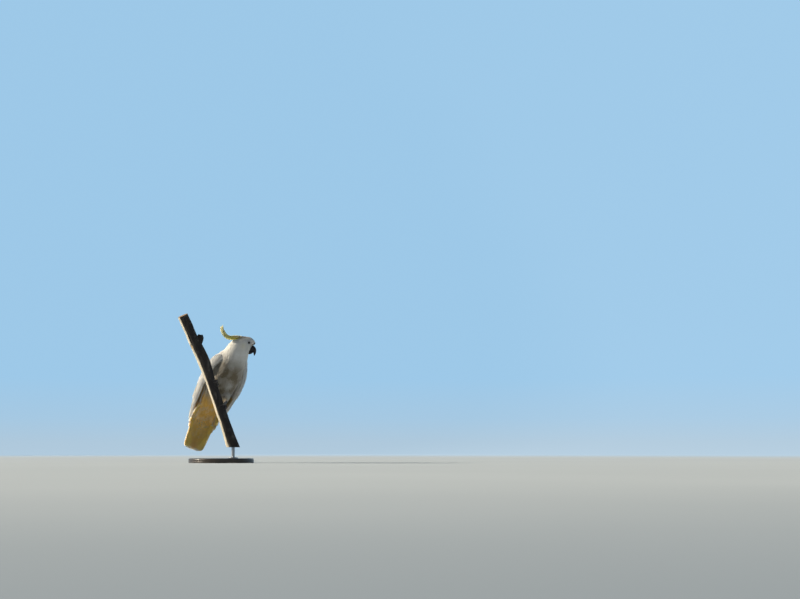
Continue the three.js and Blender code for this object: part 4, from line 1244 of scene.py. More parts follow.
far = np.linalg.norm(ROOTS - BILL_ROOT, axis=1)
down, angle, _ = round_trunk(ROOTS)
on_back = (np.sin(angle) > 0) & ~ON_THIGH
in_front = (np.sin(angle) <= 0) & ~ON_THIGH
FACE_END, CROWN_END, THROAT_END, NECK_END = 34, 62, 98, 120  # millimetres from the bill's root
BREAST_END = 160  # millimetres down the middle line
parts = {
    "coat_face": far < FACE_END,
    "coat_crown": (far >= FACE_END) & (far < CROWN_END),
    "coat_nape": (far >= CROWN_END) & (far < NECK_END) & on_back,
    "coat_throat": (far >= CROWN_END) & (far < THROAT_END) & in_front,
    "coat_chest": (far >= THROAT_END) & (far < NECK_END) & in_front,
    "coat_back": (far >= NECK_END) & on_back,
    "coat_breast": (far >= NECK_END) & (down < BREAST_END) & in_front,
    "coat_belly": (down >= BREAST_END) & in_front,
    "coat_thighs": ON_THIGH & (far >= CROWN_END),
}
for seed, (name, chosen) in enumerate(parts.items()):
    coat_piece(name, chosen, FACE_KIND if name in ("coat_face", "coat_crown") else BODY_KIND, 40 + seed)

# %% [markdown]
# ## Wings
# A folded wing is tiers of shingles. Small coverts start at the wrist and grow longer tier by tier,
# then the broad secondaries, then the narrow primaries that make the wing's tip. Each feather's
# root is sunk under the tier before it and its tip lies on the tier after it.

# %% Wing coverts
COVERT_TIPS = [24, 33, 43, 54, 67, 81, 97, 114, 132, 151]
COVERT_SIZE = {"length": [[24, 30], [60, 44], [150, 66]], "width": [[24, 11], [60, 15], [150, 23]]}
COVERT_LAY = {"step": 0.55, "edge": 0.3, "gather": 0.97, "rise": 5.6}
WING_ROLL = 1.3  # how much lower one edge of each feather lies, under its neighbour
EDGE_TUCK = {"back": 5.0, "belly": 3.5, "reach": 20}  # how far the wing's edges turn in


def on_wing(sign, tuck=1.0):
    def place(along, across, heights):
        to_back = smooth(WING["spineward"], along) - across
        to_belly = across - smooth(WING["belly"], along)
        drop = (EDGE_TUCK["back"] * ease(EDGE_TUCK["reach"], -4, to_back)
                + EDGE_TUCK["belly"] * ease(EDGE_TUCK["reach"], -4, to_belly)) * tuck
        return [wing_at(sign, along, across, height - drop) for height in heights]

    return place


def bake_corner(u, v):
    return np.stack([np.clip(u, 0, 0.99), np.clip(v, 0, 0.99)], -1)


def covert_rows(draws):
    """The root, tip and width of every covert of a wing, tier by tier."""
    root, tip, width = [], [], []
    for k, tips in enumerate(COVERT_TIPS):
        wide, length = smooth(COVERT_SIZE["width"], tips), smooth(COVERT_SIZE["length"], tips)
        low = smooth(WING["belly"], tips) + wide * COVERT_LAY["edge"]
        high = smooth(WING["spineward"], tips) - wide * COVERT_LAY["edge"]
        count = int(round((high - low) / (wide * COVERT_LAY["step"])))
        across = low + (high - low) * (np.arange(count + 1 - k % 2) + 0.5 * (k % 2)) / count
        ends = tips + draws.normal(0, 1.0, len(across))
        aside = across + draws.normal(0, 0.5, len(across))
        out = draws.normal(0, 0.15, len(across))
        sunk = 0 * ends - COVERT_LAY["rise"]
        root.append(np.stack([ends - length, across * COVERT_LAY["gather"], sunk], -1))
        tip.append(np.stack([ends, aside, out], -1))
        width.append(np.full(len(across), wide) * draws.uniform(0.94, 1.06, len(across)))
    return np.vstack(root), np.vstack(tip), np.concatenate(width)


def covert_piece(side, sign):
    draws = np.random.default_rng(11 if sign > 0 else 23)
    root, tip, width = covert_rows(draws)
    grids = feather_grids(on_wing(sign), root, tip, width, COVERT_KIND, draws, WING_ROLL)
    corner = bake_corner((root[:, 1] + 60) / 170, (root[:, 0] + 30) / 180)
    # a trace of painted backlight under the coverts
    piece = feather_piece("wing_coverts_" + side, grids, corner, [PATCH, PATCH], (0.0, 0.12), (0.0, 0.02),
                          draws.uniform(0, 1, len(root)))
    return finish_piece(piece, "wing_plumage", WING_PLUMAGE, "wing_" + side)


for side, sign in (("left", 1), ("right", -1)):
    covert_piece(side, sign)

# %% Secondaries, primaries and scapulars
SECONDARIES = {"count": 11, "root": 106, "tips": [198, 222], "width": 26, "sink": 7, "out": [0.2, 0.2]}
PRIMARIES = {"count": 10, "root": 128, "tips": [236, 322], "width": 28, "sink": 10.5, "out": [-1.4, 1.0]}
SCAPULARS = {"count": 12, "first": 2, "step": 8.5, "length": [26, 50], "width": [13, 20], "rows": 5,
             "apart": 8, "inner": 26, "slope": 8.5}


def quill_rows(quills, draws):
    """Flight feathers side by side, the first nearest the back and the last nearest the belly."""
    share = np.linspace(0, 1, quills["count"])
    ends = mix(quills["tips"][0], quills["tips"][1], share) + draws.normal(0, 0.7, len(share))
    outer = quills["width"] * QUILL_KIND["shaft"]
    inner = quills["width"] - outer

    def across(along):
        return mix(smooth(WING["spineward"], along) - inner, smooth(WING["belly"], along) + outer, share)

    start = 0 * share + quills["root"]
    root = np.stack([start, across(start), 0 * share - quills["sink"]], -1)
    tip = np.stack([ends, across(ends), mix(quills["out"][0], quills["out"][1], share)], -1)
    return root, tip, 0 * share + quills["width"]


def scapular_rows(draws):
    """Rows that climb from the back onto the wing's edge, longer down the back."""
    i, row = (v.ravel() for v in np.meshgrid(np.arange(SCAPULARS["count"]), np.arange(SCAPULARS["rows"])))
    start = SCAPULARS["first"] + SCAPULARS["step"] * (i + 0.5 * (row % 2))
    share = i / SCAPULARS["count"]
    ends = start + mix(*SCAPULARS["length"], share) + draws.normal(0, 1.2, len(start))
    beyond = SCAPULARS["inner"] - SCAPULARS["apart"] * (row + draws.uniform(-0.2, 0.2, len(start)))

    def place(along, height):
        fall = SCAPULARS["slope"] * ease(-10, 16, beyond)
        return np.stack([along, smooth(WING["spineward"], along) - 6 + beyond, height - fall], -1)

    return place(start, -4.5), place(ends, 2.2 + 0 * row), mix(*SCAPULARS["width"], share)


# %% Lay the flight feathers
def quill_piece(name, place, rows, how, draws, roll, slot, material, wash, painted_backlight, *nodes):
    """Long feathers, each on a strip of its own in the bake map."""
    grids = feather_grids(place, *rows, how, draws, roll)
    many = len(rows[0])
    strip = 1 / many
    corner = np.stack([np.arange(many) * strip + 0.05 * strip, np.full(many, 0.02)], -1)
    piece = feather_piece(name, grids, corner, [0.9 * strip, 0.96], wash, painted_backlight, draws.uniform(0, 1, many))
    return finish_piece(piece, slot, material, *nodes)


def along_wash(how, near, tip, end=1.0):
    """A colour share that changes from root to tip, with the last few millimetres faded by end."""
    steps = how["steps"]
    return (mix(near, tip, steps) * mix(1, end, ease(0.94, 0.985, steps)))[None, :, None]


for side, sign in (("left", 1), ("right", -1)):
    draws = np.random.default_rng(31 if sign > 0 else 37)
    secondaries, primaries = quill_rows(SECONDARIES, draws), quill_rows(PRIMARIES, draws)
    both = [np.concatenate(pair) for pair in zip(secondaries, primaries)]
    wash = (along_wash(QUILL_KIND, 0.12, 0.0), along_wash(QUILL_KIND, 0.55, 0.25))
    # painted backlight, warm brown, under the quills
    painted_backlight = (0.0, along_wash(QUILL_KIND, 0.55, 0.40))
    quill_piece("wing_quills_" + side, on_wing(sign), both, QUILL_KIND, draws, 2 * WING_ROLL, "wing_plumage",
                WING_PLUMAGE, wash, painted_backlight)
    # the scapulars' undersides carry a little painted backlight too
    quill_piece("scapulars_" + side, on_wing(sign, 0), scapular_rows(draws), COVERT_KIND, draws, 0.0,
                "wing_plumage", WING_PLUMAGE, (0.0, 0.1), (0.0, 0.15))

# %% [markdown]
# ## Tail
# Twelve broad feathers lie in pairs, the middle pair on top. Seen from below, light comes through
# them and turns their yellow undersides warm brown; that brown is painted on as painted backlight.

# %% Tail feathers
TAIL = {"tip": 480, "pairs": 6, "root": 356, "width": 34, "level": 1.5, "inner": 16, "spread": 2.2,
        "shorter": 1.2, "gather": 1.38}


def on_tail(face=1):
    def place(down, side, heights):
        return [tail_at(down, side, face * height) for height in heights]

    return place


def tail_rows(draws):
    root, tip = [], []
    for sign in (1, -1):
        for pair in range(TAIL["pairs"]):
            level = (TAIL["level"] if pair == 0 and sign > 0 else 0) - TAIL["level"] * (pair - 1.5)
            side = 8 if pair == 0 else TAIL["inner"] + TAIL["spread"] * (pair - 1)
            end = TAIL["tip"] - TAIL["shorter"] * pair + 0.4 * draws.normal()
            root.append([TAIL["root"], sign * side * TAIL["gather"], level])
            tip.append([end, sign * side, level])
    return np.array(root, float), np.array(tip, float), np.full(len(root), TAIL["width"])


draws = np.random.default_rng(41)
wash = (along_wash(TAIL_KIND, 0.35, 0.04), along_wash(TAIL_KIND, 0.45, 0.22, 0.3))
# painted backlight under the tail, and along the rims of its upper faces
rim = np.abs(SHAFT_SIDES) > 0.95
under = along_wash(TAIL_KIND, 0.95, 0.82, 0.15)
painted_backlight = (np.where(rim, 0.9 * under, along_wash(TAIL_KIND, 0.05, 0.0)), under)
quill_piece("tail_quills", on_tail(), tail_rows(draws), TAIL_KIND, draws, 0.0, "tail_plumage", TAIL_PLUMAGE,
            wash, painted_backlight, "tail")

# %% Coverts over and under the tail
TAIL_COVERTS = {"tips": [354, 366, 378, 390, 402, 415, 429], "length": 56, "width": 18,
                "step": 0.5, "reach": [[354, 52], [366, 52], [390, 50], [402, 46], [415, 38], [429, 25]],
                "rise": [[354, 14], [366, 12.5], [390, 9.6], [410, 7.6], [429, 6.4]],
                "below": 1.2, "gather": 0.8}


def tail_covert_rows(face, draws):
    root, tip, width = [], [], []
    for k, tips in enumerate(TAIL_COVERTS["tips"]):
        reach = smooth(TAIL_COVERTS["reach"], tips)
        count = int(round(2 * reach / (TAIL_COVERTS["width"] * TAIL_COVERTS["step"])))
        side = (np.arange(count + 1) - count / 2 + 0.25 * (k % 2)) * 2 * reach / count
        ends = tips - np.abs(side) * 0.25 + draws.normal(0, 2.2, len(side))
        height = smooth(TAIL_COVERTS["rise"], tips) + (TAIL_COVERTS["below"] if face < 0 else 0)
        # the body narrows to its sides there, so the outer coverts lie lower
        high = height - 0.008 * side**2 * ease(430, 330, ends)
        root.append(np.stack([ends - TAIL_COVERTS["length"], side * TAIL_COVERTS["gather"], high - 4], -1))
        tip.append(np.stack([ends, side, high], -1))
        width.append(np.full(len(side), TAIL_COVERTS["width"]))
    return np.vstack(root), np.vstack(tip), np.concatenate(width)


for face, name in ((1, "rump_coverts"), (-1, "vent_coverts")):
    draws = np.random.default_rng(53 + face)
    root, tip, width = tail_covert_rows(face, draws)
    grids = feather_grids(on_tail(face), root, tip, width, COVERT_KIND, draws, roll=1.6)
    corner = bake_corner((root[:, 1] + 60) / 120, (root[:, 0] - 260) / 180)
    warm = 0.05 if face > 0 else 0.16
    # painted backlight under the vent coverts and under the rump coverts
    brown = 0.95 * draws.uniform(0.8, 1, len(root))[:, None, None]
    smudge = 0.0 if face > 0 else 0.1 * draws.uniform(0, 1, len(root))[:, None, None]
    painted_backlight = (0 * brown if face > 0 else brown, brown)
    piece = feather_piece(name, grids, corner, [PATCH, PATCH], (warm, warm), painted_backlight,
                          draws.uniform(0, 1, len(root)), smudge)
    finish_piece(piece, "tail_plumage", TAIL_PLUMAGE)

# %% [markdown]
# ## Crest
# The crest is a bundle of narrow yellow plumes that curl forward at their tips, with short white
# crown feathers over their roots. Each plume runs beside the curl's middle line, a little to one
# side and on a level of its own, and the outer ones end sooner.

# %% Crest plumes
PLUMES = {"count": 22, "shortest": 0.84, "width": 5.2, "spread": 5.0, "outermost": 5, "span": 13.5,
          "fan": [[0.1, 0.12], [0.3, 0.6], [0.42, 1.02], [0.8, 0.85], [1, 0.75]]}


def on_crest(level, face=1):
    """level moves each plume towards the curl's outer side, more in its middle than at its ends."""
    def place(along, left, heights):
        lift = level[:, None, None] * smooth(PLUMES["fan"], along / CREST.length)
        return [crest_at(along, left, face * height + lift) for height in heights]

    return place


draws = np.random.default_rng(61)
share = np.linspace(0, 1, PLUMES["count"])
reach = mix(0.985, PLUMES["shortest"], share**2.5) + draws.normal(0, 0.02, len(share))
side = np.where(np.arange(len(share)) % 2, 1, -1) * PLUMES["spread"] * draws.uniform(0.25, 1, len(share))
root = np.stack([mix(0.12, 0.3, share) * CREST.length, 0.5 * side, 0 * share], -1)
aside = side * draws.uniform(0.5, 1.3, len(share))
tip = np.stack([reach * CREST.length, aside, draws.normal(0, 0.8, len(share))], -1)
width = PLUMES["width"] * draws.uniform(0.85, 1.15, len(share))
place = on_crest(PLUMES["outermost"] - PLUMES["span"] * share)
wash = (along_wash(PLUME_KIND, 1.0, 0.1), along_wash(PLUME_KIND, 1.0, 0.2))
# a trace of painted backlight under the plumes
quill_piece("crest_plumes", place, (root, tip, width), PLUME_KIND, draws, 3.4 * np.sign(side),
            "crest_plumage", CREST_PLUMAGE, wash, (0.0, 0.02), "crest")

# %% White feathers over the crest's roots
CROWN = {"rows": 11, "across": 9, "step": 5.0, "from": -2, "length": [15, 26], "width": 8}
draws = np.random.default_rng(67)
row, column = np.meshgrid(np.arange(CROWN["rows"]), np.arange(CROWN["across"]), indexing="ij")
row, column = row.ravel(), column.ravel() - (CROWN["across"] - 1) / 2 + 0.5 * (row.ravel() % 2)
start = CROWN["from"] + CROWN["step"] * row
ends = start + mix(*CROWN["length"], row / CROWN["rows"]) * draws.uniform(0.88, 1.15, len(row))
side = column * 2.7
drop = 0.035 * side**2


def over_plumes(along):
    """How high the topmost plume runs over the curl's middle line, and a little more."""
    return (PLUMES["span"] - PLUMES["outermost"]) * smooth(PLUMES["fan"], along / CREST.length) + 1.2


root = np.stack([start, side * 0.85, over_plumes(start) - 5 - 0.9 * drop], -1)
tip = np.stack([ends, side * mix(1.0, 0.6, row / CROWN["rows"]), over_plumes(ends) - drop], -1)
grids = feather_grids(on_crest(0 * start, -1), root, tip, 0 * start + CROWN["width"], BODY_KIND, draws)
corner = bake_corner((side + 20) / 40, start / CREST.length)
yellow = (0.012 * row**1.5)[:, None, None]
piece = feather_piece("crown_feathers", grids, corner, [PATCH, PATCH], (yellow, yellow), (0.0, 0.0),
                      draws.uniform(0, 1, len(row)))
finish_piece(piece, "body_plumage", WHITE_PLUMAGE)

# %% [markdown]
# ## Branch
# The perch is a cut length of a dead gum branch. Its solid is a plain round loft, so the same loft
# is made again with close rings, and its skin is pushed in and out by noise that is drawn out along
# the wood: slow lumps, then ridges, then small plates. The lower end is cut level for the stand.

# %% Bark finish
def bark_finish(name, dark, pale, warm, painted_sunlit_colour):
    material, tree, shader = new_material(name)
    plates = effect(tree, CELLS, Size=0.006, Stretch=7.0, Crease=0.06)
    grain = effect(tree, GRAIN, Width=0.0014, Length=0.035)
    patches = effect(tree, PATCHES, Size=0.028, Stretch=3.0, Low=0.42, High=0.6)
    lichen = effect(tree, PATCHES, Size=0.02, Stretch=1.6, Low=0.54, High=0.66, Detail=6.0)
    painted_sunlight = carried(tree, "painted_sunlight")
    # the pale side, painted as if sunlit, frays into the dark one along the grain
    fray = times(tree, maths(tree, "SUBTRACT", grain["Height"], 0.5), 0.9)
    bare = soft_step(tree, maths(tree, "ADD", painted_sunlight, fray), 0.35, 0.65)
    base = blend_colours(tree, patches["Mask"], dark, warm)
    base = blend_colours(tree, times(tree, lichen["Mask"], 0.65), base, pale)
    base = blend_colours(tree, times(tree, grain["Mask"], 0.45), base, dark)
    painted_sunlit_bark = blend_colours(tree, times(tree, grain["Mask"], 0.25), painted_sunlit_colour, warm)
    base = blend_colours(tree, bare, base, painted_sunlit_bark)
    # painted shade: the cracks between the plates are darkened, less so on the painted sunlit side
    painted_crack_shade = maths(tree, "SUBTRACT", 0.38, times(tree, bare, 0.3))
    base = blend_colours(tree, times(tree, plates["Crease"], painted_crack_shade), base, colour(0.03, 0.025, 0.02))
    base = blend_colours(tree, carried(tree, "scar"), base, colour(0.46, 0.34, 0.20))
    height = maths(tree, "ADD", times(tree, plates["Height"], 0.25), grain["Height"])
    dress(tree, shader, base, 0.88, height, 0.0014)
    return material


# the last colour is painted light: the pale bark of the side that faces the key light
BARK = bark_finish("gum_bark", colour(0.018, 0.015, 0.016), colour(0.12, 0.11, 0.105),
                   colour(0.042, 0.035, 0.030), colour(0.86, 0.77, 0.60))


def cut_wood_finish():
    """A saw cut: rings round the middle of the branch, and rays across them."""
    material, tree, shader = new_material("cut_wood")
    wave = maths(tree, "SINE", times(tree, carried(tree, "ring"), 75.0))
    grain = effect(tree, GRAIN, Width=0.0008, Length=0.0008)
    share = maths(tree, "ADD", times(tree, wave, 0.3), times(tree, grain["Height"], 0.5))
    base = blend_colours(tree, share, colour(0.24, 0.15, 0.08), colour(0.46, 0.33, 0.20))
    dress(tree, shader, base, 0.8, share, 0.0004)
    return material


CUT_WOOD = cut_wood_finish()
print("finishes:", BARK.name, CUT_WOOD.name)

# %% The branch
BRANCH = Line([[50, -7, 52], [17.5, -28, 147], [-11, -45, 227], [-39, -63, 305],
               [-76, -86, 407], [-117, -104, 491], [-157, -123, 579]])
BRANCH_RADIUS = [[0, 26], [0.16, 21], [0.33, 20.5], [0.5, 19.5], [0.68, 23.5], [0.84, 20.5], [1, 20]]
BRANCH_FOOT = 62  # the height of its level cut
STUB = {"line": [[-108, -98, 455], [-91, -96, 482], [-86, -94, 506]], "radius": 15, "end": 13}
SCARS = [{"z": 466, "turn": 215, "tall": 15, "wide": 7}, {"z": 352, "turn": 200, "tall": 9, "wide": 4}]


def branch_frame(t):
    """The branch's middle part of the way up it, with the directions right and back."""
    at, up = BRANCH.by_share(t)
    right = unit(np.array([1.0, 0, 0]) - up[..., :1] * up)
    return at, up, right, np.cross(up, right)


def round_branch(height, turn, out):
    """A place round the branch: at a height, turned in radians from its right towards its back."""
    t = np.interp(height, BRANCH.at[:, 2], BRANCH.share)
    at, _, right, back = branch_frame(t)
    radius = (smooth(BRANCH_RADIUS, t) + out)[..., None]
    return at + radius * (np.cos(turn)[..., None] * right + np.sin(turn)[..., None] * back)


def branch_skin(share, turn):
    """The plain round branch at shares of its length, with the direction out at each place."""
    at, _, right, back = branch_frame(share)
    spoke = np.cos(turn)[:, None] * right + np.sin(turn)[:, None] * back
    return at + smooth(BRANCH_RADIUS, share)[..., None] * spoke, spoke


print("the branch is", round(float(BRANCH.length)), "mm long")


# %% How the bark stands out, bleaches and scars
def lumps(points, turn, seed):
    """How far bark stands out at each place: slow lumps, ridges along the wood, small plates."""
    out = np.empty(len(points))
    shift = Vector((seed * 7.3, 0, 0))
    for k, p in enumerate(points):
        slow = noise.noise(Vector((p[0] / 34, p[1] / 34, p[2] / 60)) + shift)
        ridge = noise.noise(Vector((4.2 * math.cos(turn[k]), 4.2 * math.sin(turn[k]), p[2] / 46)) + shift)
        plate = noise.noise(Vector((p[0] / 4, p[1] / 4, p[2] / 11)) + shift)
        out[k] = 2.0 * slow + 1.2 * ridge + 0.4 * plate
    return out


# painted light: the branch's side towards the key light is painted pale
PAINTED_SUN_SIDE = unit(np.array([-0.97, 0.08, 0.2]))


def bleach_share(spoke):
    """How much a place on the bark faces the key light, left, a little up and back; that side is
    painted pale as if sunlit.
    """
    return ease(0.12, 0.72, spoke @ PAINTED_SUN_SIDE)


def scar_share(points, scar):
    """1 inside a scar on the bark and 0 outside, soft at its edge."""
    centre = round_branch(np.array(scar["z"]), np.array(math.radians(scar["turn"])), np.array(0.0))
    away = (points - centre) / np.array([scar["wide"], scar["wide"], scar["tall"]])
    return 1 - ease(0.75, 1.1, np.linalg.norm(away, axis=-1))


print(len(SCARS), "scars on the bark")

# %% The bark
BARK_SIDES, BARK_STEPS = 132, 300
turn = full_turn(BARK_SIDES)
steps = np.linspace(0, 1, BARK_STEPS + 1)[:, None]
whole, _ = branch_skin(steps + 0 * turn, turn)
# each side's rows start at the level cut
start = np.array([np.interp(BRANCH_FOOT, whole[:, j, 2], steps[:, 0]) for j in range(BARK_SIDES)])
share = mix(start, 1, steps)
points, spoke = branch_skin(share, turn)
flat = points.reshape(-1, 3)
scar = np.max([scar_share(flat, one) for one in SCARS], 0)
rise = lumps(flat, np.tile(turn, BARK_STEPS + 1), 1) * (1 - 0.7 * scar) - 1.3 * scar
rise = (rise.reshape(share.shape) * ease(0, 0.01, share - start))[..., None]
points = points + rise * spoke
# the painted sunlit side comes with the mesh as a value
values = {"scar": np.append(scar, [0, 0]), "painted_sunlight": np.append(bleach_share(spoke).ravel(), [0, 0])}
piece = mesh_of("bark", shut_rings(points), ring_faces(BARK_STEPS + 1, BARK_SIDES), values)
finish_piece(piece, "bark", BARK, "perch")

# %% Saw cut and broken stub
CUT_RINGS = 14
STUB_SIDES, STUB_STEPS = 64, 60


def cut_face(name, rim, bulge):
    """A disc of cut wood over a ring of points, with rings that follow its outline."""
    centre = rim.mean(0)
    share = np.linspace(0, 1, CUT_RINGS)[:, None, None]
    rings = centre + share * (rim - centre)
    points = rings.reshape(-1, 3)
    points = points + bulge * np.array([noise.noise(Vector(p / 2.2)) for p in points])[:, None]
    values = {"ring": np.repeat(share[:, 0, 0], len(rim))}
    piece = mesh_of(name, points, ring_faces(CUT_RINGS, len(rim), shut=False), values)
    return finish_piece(piece, "bark", CUT_WOOD)


def stub_radius(share):
    return mix(STUB["radius"], STUB["end"], share)


top_way = branch_frame(share[-1])[1]
cut_face("saw_cut", points[-1] + 0.3 * top_way, 0.12)

stub_line = [np.array(p, float) for p in STUB["line"]]
stub_rings = tube_rings(stub_line, stub_radius, STUB_SIDES, STUB_STEPS)
way = unit(stub_line[-1] - stub_line[-2])
spoke = unit(stub_rings - stub_rings.mean(1, keepdims=True))
turn = full_turn(STUB_SIDES)
rough = lumps(stub_rings.reshape(-1, 3), np.tile(turn, STUB_STEPS + 1), 5)
stub_rings = stub_rings + 0.9 * rough.reshape(STUB_STEPS + 1, STUB_SIDES, 1) * spoke
# the break: two humps with a notch between them, splintered and hollow in the middle
splinter = np.array([noise.noise(Vector((3 * math.cos(a), 3 * math.sin(a), 9))) for a in turn])
along = np.linspace(0, 1, STUB_STEPS + 1)[:, None, None]
aside = (stub_rings[-1, :, 0] - stub_rings[-1, :, 0].mean()) / STUB["end"]
hump = (2.2 * splinter + 6.0 * aside**2 * (1 - aside**2) - 1.5)[None, :, None]
stub_rings = mix(stub_rings, stub_rings.mean(1, keepdims=True), 0.25 * ease(0.82, 1, along))
stub_rings = stub_rings + ease(0.7, 1, along) * hump * way
hollow = stub_rings[-1:] * 0.5 + 0.5 * stub_rings[-1].mean(0) - 3.5 * way
stub_points = shut_rings(np.concatenate([stub_rings, hollow]))
piece = mesh_of("broken_stub", stub_points, ring_faces(STUB_STEPS + 2, STUB_SIDES),
                {label: np.zeros(len(stub_points)) for label in ("scar", "painted_sunlight")})
finish_piece(piece, "bark", BARK)

# %% [markdown]
# ## Feet
# A cockatoo grips with two toes forward and two back. Each toe is a tube that runs round the
# branch, with pads under its joints and plates across its top. The tubes, the palm and the leg are
# melted together as the skin was, only finer. Fine scales are left to the finish's relief.

# %% Foot finish
def foot_finish():
    material, tree, shader = new_material("foot_scales")
    scales = effect(tree, CELLS, Size=0.0016, Crease=0.14)
    dust = effect(tree, PATCHES, Size=0.006, Low=0.4, High=0.7)
    base = blend_colours(tree, dust["Mask"], colour(0.055, 0.052, 0.052), colour(0.16, 0.15, 0.145))
    base = blend_colours(tree, times(tree, scales["Crease"], 0.7), base, colour(0.24, 0.225, 0.21))
    dress(tree, shader, base, 0.66, scales["Height"], 0.0004)
    return material


FOOT_SCALES = foot_finish()
print("finish:", FOOT_SCALES.name)

# %% Toes and palms
TOES = {"radius": 5, "tip": 3.6, "claw_reach": 0.33, "claw_radius": 2.8, "shank": 6.4, "palm": 8.2}
TOE_SET = [
    {"name": "1", "way": -1, "reach": 95, "rise": 8}, {"name": "2", "way": -1, "reach": 82, "rise": -9},
    {"name": "3", "way": 1, "reach": 88, "rise": 9}, {"name": "4", "way": 1, "reach": 70, "rise": -8},
]
FOOT_VOXEL = 0.7


def toe_path(leg, toe, start, end):
    """Points along a toe round the branch, dipping to the bark past its end."""
    share = np.linspace(start, end, 9)
    turn = np.radians(leg["palm_turn"] + toe["way"] * toe["reach"] * share)
    height = leg["palm_height"] + toe["rise"] * np.minimum(1, share * 2)
    dip = np.maximum(0, share - 1) / TOES["claw_reach"]
    return round_branch(height, turn, (TOES["radius"] - 1) * (1 - dip))


def knuckled(share):
    """A toe's radius: thinner to its tip, swollen at its pads, ringed by its plates."""
    pads = 0.07 * np.cos(share * 2 * math.pi * 2.5)
    plates = 0.035 * np.abs(np.sin(share * math.pi * 13))
    return mix(TOES["radius"], TOES["tip"], share) * (0.97 + pads + plates)


def plated(share):
    """A leg's radius, ringed by its plates."""
    return TOES["shank"] * (1 + 0.03 * np.abs(np.sin(share * math.pi * 7)))


def round_palm(share):
    return TOES["palm"] * np.sqrt(np.maximum(0.01, 1 - (2 * share - 1) ** 2))


def foot_piece(side, leg):
    ankle = np.array(leg["ankle"], float)
    palm = round_branch(np.array(leg["palm_height"]), np.radians(leg["palm_turn"]), np.array(TOES["radius"]))
    rise = [0, 0, TOES["palm"]]
    lofts = [tube_rings([ankle, (ankle + palm) / 2, palm], plated, 32, 40),
             tube_rings([palm - rise, palm, palm + rise], round_palm, 32, 20)]
    lofts += [tube_rings(toe_path(leg, toe, 0, 1), knuckled, 28, 60) for toe in TOE_SET]
    piece = melt("foot_skin_" + side, lofts, FOOT_VOXEL, rounds=3)
    return finish_piece(piece, "foot_skin", FOOT_SCALES, "foot_" + side)


print(len(TOE_SET), "toes to a foot")


# %% Claws
CLAW_SIDES, CLAW_STEPS = 24, 30


def tapered(share):
    return 0.45 + (TOES["claw_radius"] - 0.35) * (1 - share) ** 0.75


def claw_piece(side, leg, toe):
    """A curved cone that is thick at the quick and ends in a blunt point."""
    name = side + "_" + toe["name"]
    rings = tube_rings(toe_path(leg, toe, 0.93, 1 + TOES["claw_reach"]), tapered, CLAW_SIDES, CLAW_STEPS)
    piece = mesh_of("talon_" + name, shut_rings(rings), ring_faces(CLAW_STEPS + 1, CLAW_SIDES))
    return finish_piece(piece, "claw", CLAW_HORN, "claw_" + name)


for side, leg in LEGS.items():
    foot_piece(side, leg)
    for toe in TOE_SET:
        claw_piece(side, leg, toe)

# %% [markdown]
# ## Stand
# The stand is turned wood and a steel rod. Both are profiles swept round an axis, which a lathe
# does on the bench. The profile's corners are rounded in the outline itself.

# %% Stand finishes
def base_finish():
    material, tree, shader = new_material("ebonised_wood")
    place = node(tree, "TexCoord").outputs["Object"]
    turned = node(tree, "Mapping", Vector=place, Rotation=(0, math.radians(90), 0)).outputs[0]
    finely = stretched(tree, turned, (320.0, 320.0, 22.0))
    streaks = node(tree, "TexNoise", Vector=finely, Scale=1.0, Detail=5.0, Distortion=0.6).outputs[0]
    wear = effect(tree, PATCHES, Size=0.03, Low=0.4, High=0.75)
    base = blend_colours(tree, streaks, colour(0.016, 0.013, 0.011), colour(0.060, 0.046, 0.036))
    rough = maths(tree, "ADD", 0.36, times(tree, wear["Mask"], 0.14))
    dress(tree, shader, base, rough, streaks, 0.0003, Coat_Weight=0.25, Coat_Roughness=0.3)
    return material


def rod_finish():
    material, tree, shader = new_material("brushed_steel")
    brush = effect(tree, GRAIN, Width=0.02, Length=0.0003)
    rough = maths(tree, "ADD", 0.22, times(tree, brush["Height"], 0.22))
    dress(tree, shader, colour(0.52, 0.52, 0.53), rough, brush["Height"], 0.00002, Metallic=1.0)
    return material


BASE_WOOD, ROD_STEEL = base_finish(), rod_finish()
print("finishes:", BASE_WOOD.name, ROD_STEEL.name)

# %% Turned base and rod
BASE = {"radius": 130, "height": 18, "edge": 3}
ROD = {"radius": 7, "flange": 19, "flange_height": 4, "x": 47, "y": -8.5, "gap": 0.3}


def rounded(corners, radius, steps=6):
    """A profile whose corners are rounded, all but its first and last."""
    out = [corners[0]]
    for before, corner, after in zip(corners[:-2], corners[1:-1], corners[2:]):
        a, b, c = (np.array(p, float) for p in (before, corner, after))
        r = min(radius, np.linalg.norm(a - b) / 2.2, np.linalg.norm(c - b) / 2.2)
        start, end = b + unit(a - b) * r, b + unit(c - b) * r
        t = np.linspace(0, 1, steps)[:, None]
        out += list((1 - t) ** 2 * start + 2 * t * (1 - t) * b + t**2 * end)
    return np.array(out + [corners[-1]], float)


def swept(radius, height, sides, x=0.0, y=0.0):
    """Rings round an upright axis, one for each radius and height."""
    turn = full_turn(sides)
    radius, height = radius[:, None], height[:, None]
    return np.stack([radius * np.cos(turn) + x, radius * np.sin(turn) + y, height + 0 * turn], -1)


def lathe_piece(name, corners, radius, x, y, sides, slot, material, node_name):
    profile = rounded(corners, radius)
    rings = swept(*profile.T, sides, x, y)
    piece = mesh_of(name, shut_rings(rings), ring_faces(len(profile), sides))
    return finish_piece(piece, slot, material, node_name)


